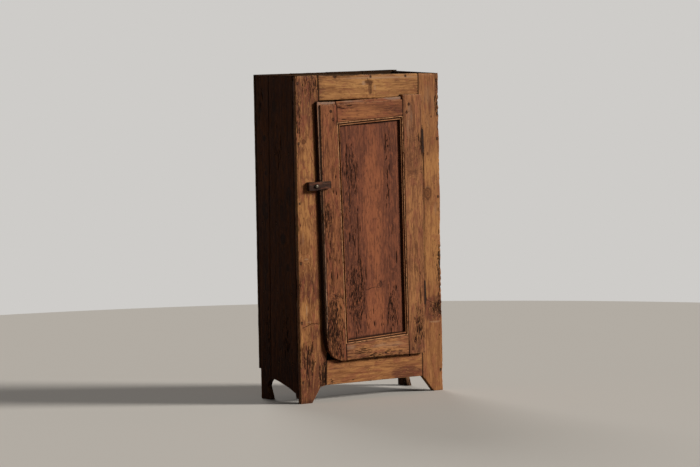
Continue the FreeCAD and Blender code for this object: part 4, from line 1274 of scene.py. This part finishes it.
def whittled_button():
    """The button, its knife-cut arrises uneven, its upper facet and right end painted paler as highlights,
    and painted shade in a ring round the screw.
    """
    tones = Tones((78, 56, 48), (48, 33, 29), (96, 70, 58), (36, 25, 23), (16, 11, 10))
    wood = pine("turn button wood", CROSSWISE, tones, 50, heart=(770, FRONT - 40), ring=2.2, wax=0.7)
    solid = merged("turn_button")
    rounded(solid, arrises(solid, 6.0), 2.4, 3)
    for way, spacing in ((TO_RIGHT, 3.0), (UP, 3.0), (TO_FRONT, 4.0)):
        sliced(solid, list(solid.faces), way, steps(solid, way, spacing))
    points, normals = points_of(solid)
    pivot = np.array(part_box("button_screw")[0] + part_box("button_screw")[1]) / 2 / MM
    right, up = points[:, 0] - pivot[0], points[:, 2] - pivot[2]
    away = np.hypot(right, up)
    cuts = 0.55 * (1 + lumps(points, (11, 11, 11), 50)) + 0.3 * (1 + lumps(points, (30, 9, 9), 51))
    move(solid, points - normals * (cuts * eased((away - 7) / 5))[:, None])
    # Painted highlights on the upper facet and towards the right end, and a painted shade ring round the
    # screw
    marks = {
        "tint": 0.4 * eased(right / 50) + 0.7 * eased((up - 6) / 5),
        "rubbed_and_highlit": 0.5 * eased((up - 11) / 4),
        "grime": np.clip(1.2 - (away - 6) / 5, 0, 1),
        "eaten": np.zeros(len(points)),
        "tracks": np.zeros(len(points)),
    }
    finished("turn_button_whittled", solid, wood, ["turn_button"], marks)


# The button screw: its radii, and how far its slot reaches to each side and in
SCREW_CORE = 2.3
SCREW_SHANK = 4.7
SCREW_HEAD = 6.3
SLOT_HALF = 0.6
SLOT_DEPTH = 1.0
SLOT_ANGLE = 24


def turned_screw(seat, face):
    """A screw with a wide shank above its seat and a domed head, its point at the origin."""
    profile = [
        (0, 0), (SCREW_CORE, 1.2), (SCREW_CORE, seat), (SCREW_SHANK, seat), (SCREW_SHANK, face),
        (SCREW_HEAD, face), (SCREW_HEAD, face + 0.9), (5.8, face + 2.0), (4.4, face + 3.1),
        (2.3, face + 3.8), (0, face + 4.0),
    ]
    screw = bmesh.new()
    verts = [screw.verts.new((out * MM, -up * MM, 0)) for out, up in profile]
    edges = [screw.edges.new(pair) for pair in zip(verts, verts[1:])]
    bmesh.ops.spin(
        screw, geom=[*verts, *edges], cent=(0, 0, 0), axis=(0, 1, 0), angle=2 * math.pi, steps=32,
        use_merge=True)
    bmesh.ops.remove_doubles(screw, verts=screw.verts, dist=SAME_POINT * MM)
    bmesh.ops.recalc_face_normals(screw, faces=screw.faces)
    return screw


def cut_slot(screw, face):
    """Sink a slot across the head of a screw, whose head begins at face."""
    turn = Matrix.Rotation(math.radians(SLOT_ANGLE), 3, "Y")
    for side in (-SLOT_HALF, SLOT_HALF):
        bmesh.ops.bisect_plane(
            screw, geom=everything(screw), dist=CUT_SLACK * MM,
            plane_co=turn @ Vector((0, 0, side * MM)), plane_no=turn @ UP)
    slot = [part for part in screw.faces
            if abs((turn.inverted() @ part.calc_center_median()).z) < SLOT_HALF * MM
            and part.calc_center_median().y < -(face + 1) * MM]
    sunk = bmesh.ops.extrude_face_region(screw, geom=slot)
    bmesh.ops.delete(screw, geom=slot, context="FACES_ONLY")
    floor = parts(sunk["geom"], bmesh.types.BMVert)
    bmesh.ops.translate(screw, verts=floor, vec=TO_BACK * SLOT_DEPTH * MM)


def button_screw():
    """A round-headed screw with a slot, which clears the button's sloping face as it turns."""
    low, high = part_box("button_screw")
    centre = (low + high) / 2
    seat = (high.y - low.y) / MM - 2.4
    face = seat + 8.7
    steel = rough_iron("button screw steel", (140, 130, 116), (96, 78, 64), 0.55, 0.2)
    screw = turned_screw(seat, face)
    cut_slot(screw, face)
    screw.verts.sort(key=lambda vert: vert.co.dot(SORTING_WAY))
    bmesh.ops.translate(screw, verts=screw.verts, vec=(centre.x, high.y, centre.z))
    finished("button_screw_turned", screw, steel, ["button_screw"])


def ironwork():
    iron = rough_iron("wrought iron", (30, 18, 11), (58, 31, 18), 0.5, 0.04)
    for level in ("upper", "lower"):
        for part in ("frame_leaf", "door_leaf", "pin"):
            node = "hinge_%s_%s" % (level, part)
            eased_piece(node + "_eased", node, iron, 0.25)
    nail_iron = rough_iron("nail iron", (74, 54, 40), (86, 56, 38), 0.35, 0.3)
    for node in ("frame_nails", "back_nails", "side_nails", "batten_nails"):
        frame["nodes"][node].data.materials[0] = nail_iron
    screw_iron = rough_iron("hinge screw steel", (96, 86, 76), (78, 54, 40), 0.5, 0.4)
    for node in ("hinge_door_screws", "hinge_frame_screws"):
        frame["nodes"][node].data.materials[0] = screw_iron


def pegs():
    tones = Tones((84, 50, 33), (56, 32, 21), (98, 60, 38), (46, 27, 19))
    wood = pine("peg wood", UPRIGHT, tones, 60, heart=(0, 60), ring=1.4)
    frame["nodes"]["door_pegs"].data.materials[0] = wood


# Setting

FLOOR_RADIUS = 4.2
LAMPS_AIM = (0, 0, 0.6)
LENS_LENGTH = 144
SENSOR_WIDTH = 36
CAMERA_SPOT = (-6.2055, -8.6407, 1.247)
CAMERA_YAW = 35.65
CAMERA_PITCH = 3.40
CAMERA_ROLL = -1.01


def seen_directly(finish):
    """1 where the camera, a glossy surface or glass looks at the surroundings."""
    seen = finish.node("ShaderNodeLightPath", {}, {}, "Is Camera Ray")
    mirrored = finish.node("ShaderNodeLightPath", {}, {}, "Is Glossy Ray")
    through = finish.node("ShaderNodeLightPath", {}, {}, "Is Transmission Ray")
    return seen.larger(mirrored).larger(through)


def pale_floor():
    """Pale to the eye, and a middling grey in the light that it throws back."""
    finish = Finish("pale floor")
    breath = finish.cloud(finish.place(UPRIGHT), (900, 900, 900), 2.0)
    tone = finish.mix((breath - 0.5) * 0.1 + 0.05, shade(214, 211, 207), shade(202, 199, 195))
    colour = finish.mix(seen_directly(finish), shade(120, 112, 104), tone)
    return finish.surface(Base_Color=colour, Roughness=1.0, Specular_IOR_Level=0.0)


def floor():
    ground = bmesh.new()
    bmesh.ops.create_circle(ground, cap_ends=True, cap_tris=False, segments=96, radius=FLOOR_RADIUS)
    mesh = bpy.data.meshes.new("studio_floor")
    ground.to_mesh(mesh)
    ground.free()
    mesh.materials.append(pale_floor())
    piece = bpy.data.objects.new("studio_floor", mesh)
    bpy.context.scene.collection.objects.link(piece)


def lamp(name, spot, strength, spread, colour):
    """A far, soft lamp that shines evenly from a spot's direction over object and floor."""
    light = bpy.data.lights.new(name, "SUN")
    light.energy = strength
    light.angle = math.radians(spread)
    light.color = colour
    piece = bpy.data.objects.new(name, light)
    piece.location = spot
    piece.rotation_euler = (Vector(LAMPS_AIM) - Vector(spot)).to_track_quat("-Z", "Y").to_euler()
    bpy.context.scene.collection.objects.link(piece)


def room_light():
    """An even, weak light from all round, behind which the camera sees a pale backdrop."""
    world = bpy.data.worlds.new("studio")
    bpy.context.scene.world = world
    around = Finish("studio", world)
    faint = around.node("ShaderNodeBackground", {}, {"Color": shade(210, 204, 198), "Strength": 0.13})
    backdrop = around.node("ShaderNodeBackground", {}, {"Color": shade(206, 204, 201)})
    either = around.node("ShaderNodeMixShader", {}, [seen_directly(around), faint, backdrop])
    around.node("ShaderNodeOutputWorld", {}, [either])


def camera():
    """A long lens, well back to the left of the front."""
    lens = bpy.data.cameras.new("camera")
    lens.lens = LENS_LENGTH
    lens.sensor_width = SENSOR_WIDTH
    lens.clip_end = 100
    piece = bpy.data.objects.new("camera", lens)
    yaw, pitch, roll = (math.radians(turn) for turn in (CAMERA_YAW, CAMERA_PITCH, CAMERA_ROLL))
    ahead = Vector((math.sin(yaw) * math.cos(pitch), math.cos(yaw) * math.cos(pitch), -math.sin(pitch)))
    level = Vector((math.cos(yaw), -math.sin(yaw), 0))
    above = level.cross(ahead)
    right = level * math.cos(roll) + above * math.sin(roll)
    over = above * math.cos(roll) - level * math.sin(roll)
    piece.matrix_world = Matrix((right, over, -ahead)).transposed().to_4x4()
    piece.location = CAMERA_SPOT
    bpy.context.scene.collection.objects.link(piece)
    bpy.context.scene.camera = piece


def setting():
    floor()
    lamp("key", (4.4, -4.0, 3.2), 3.35, 15, (1.0, 0.95, 0.87))
    lamp("rear", (1.6, 4.4, 3.6), 0.9, 25, (1.0, 0.97, 0.93))
    room_light()
    camera()
    bpy.context.scene.view_settings.view_transform = "Standard"


def cupboard():
    left_stile()
    right_stile()
    top_rail()
    bottom_rail()
    lock_stile()
    hinge_stile()
    door_top_rail()
    door_bottom_rail()
    panel()
    mouldings()
    side_boards()
    level_boards()
    battens()
    for number in range(1, 5):
        back_board(number)
    whittled_button()
    button_screw()
    ironwork()
    pegs()


cupboard()
setting()
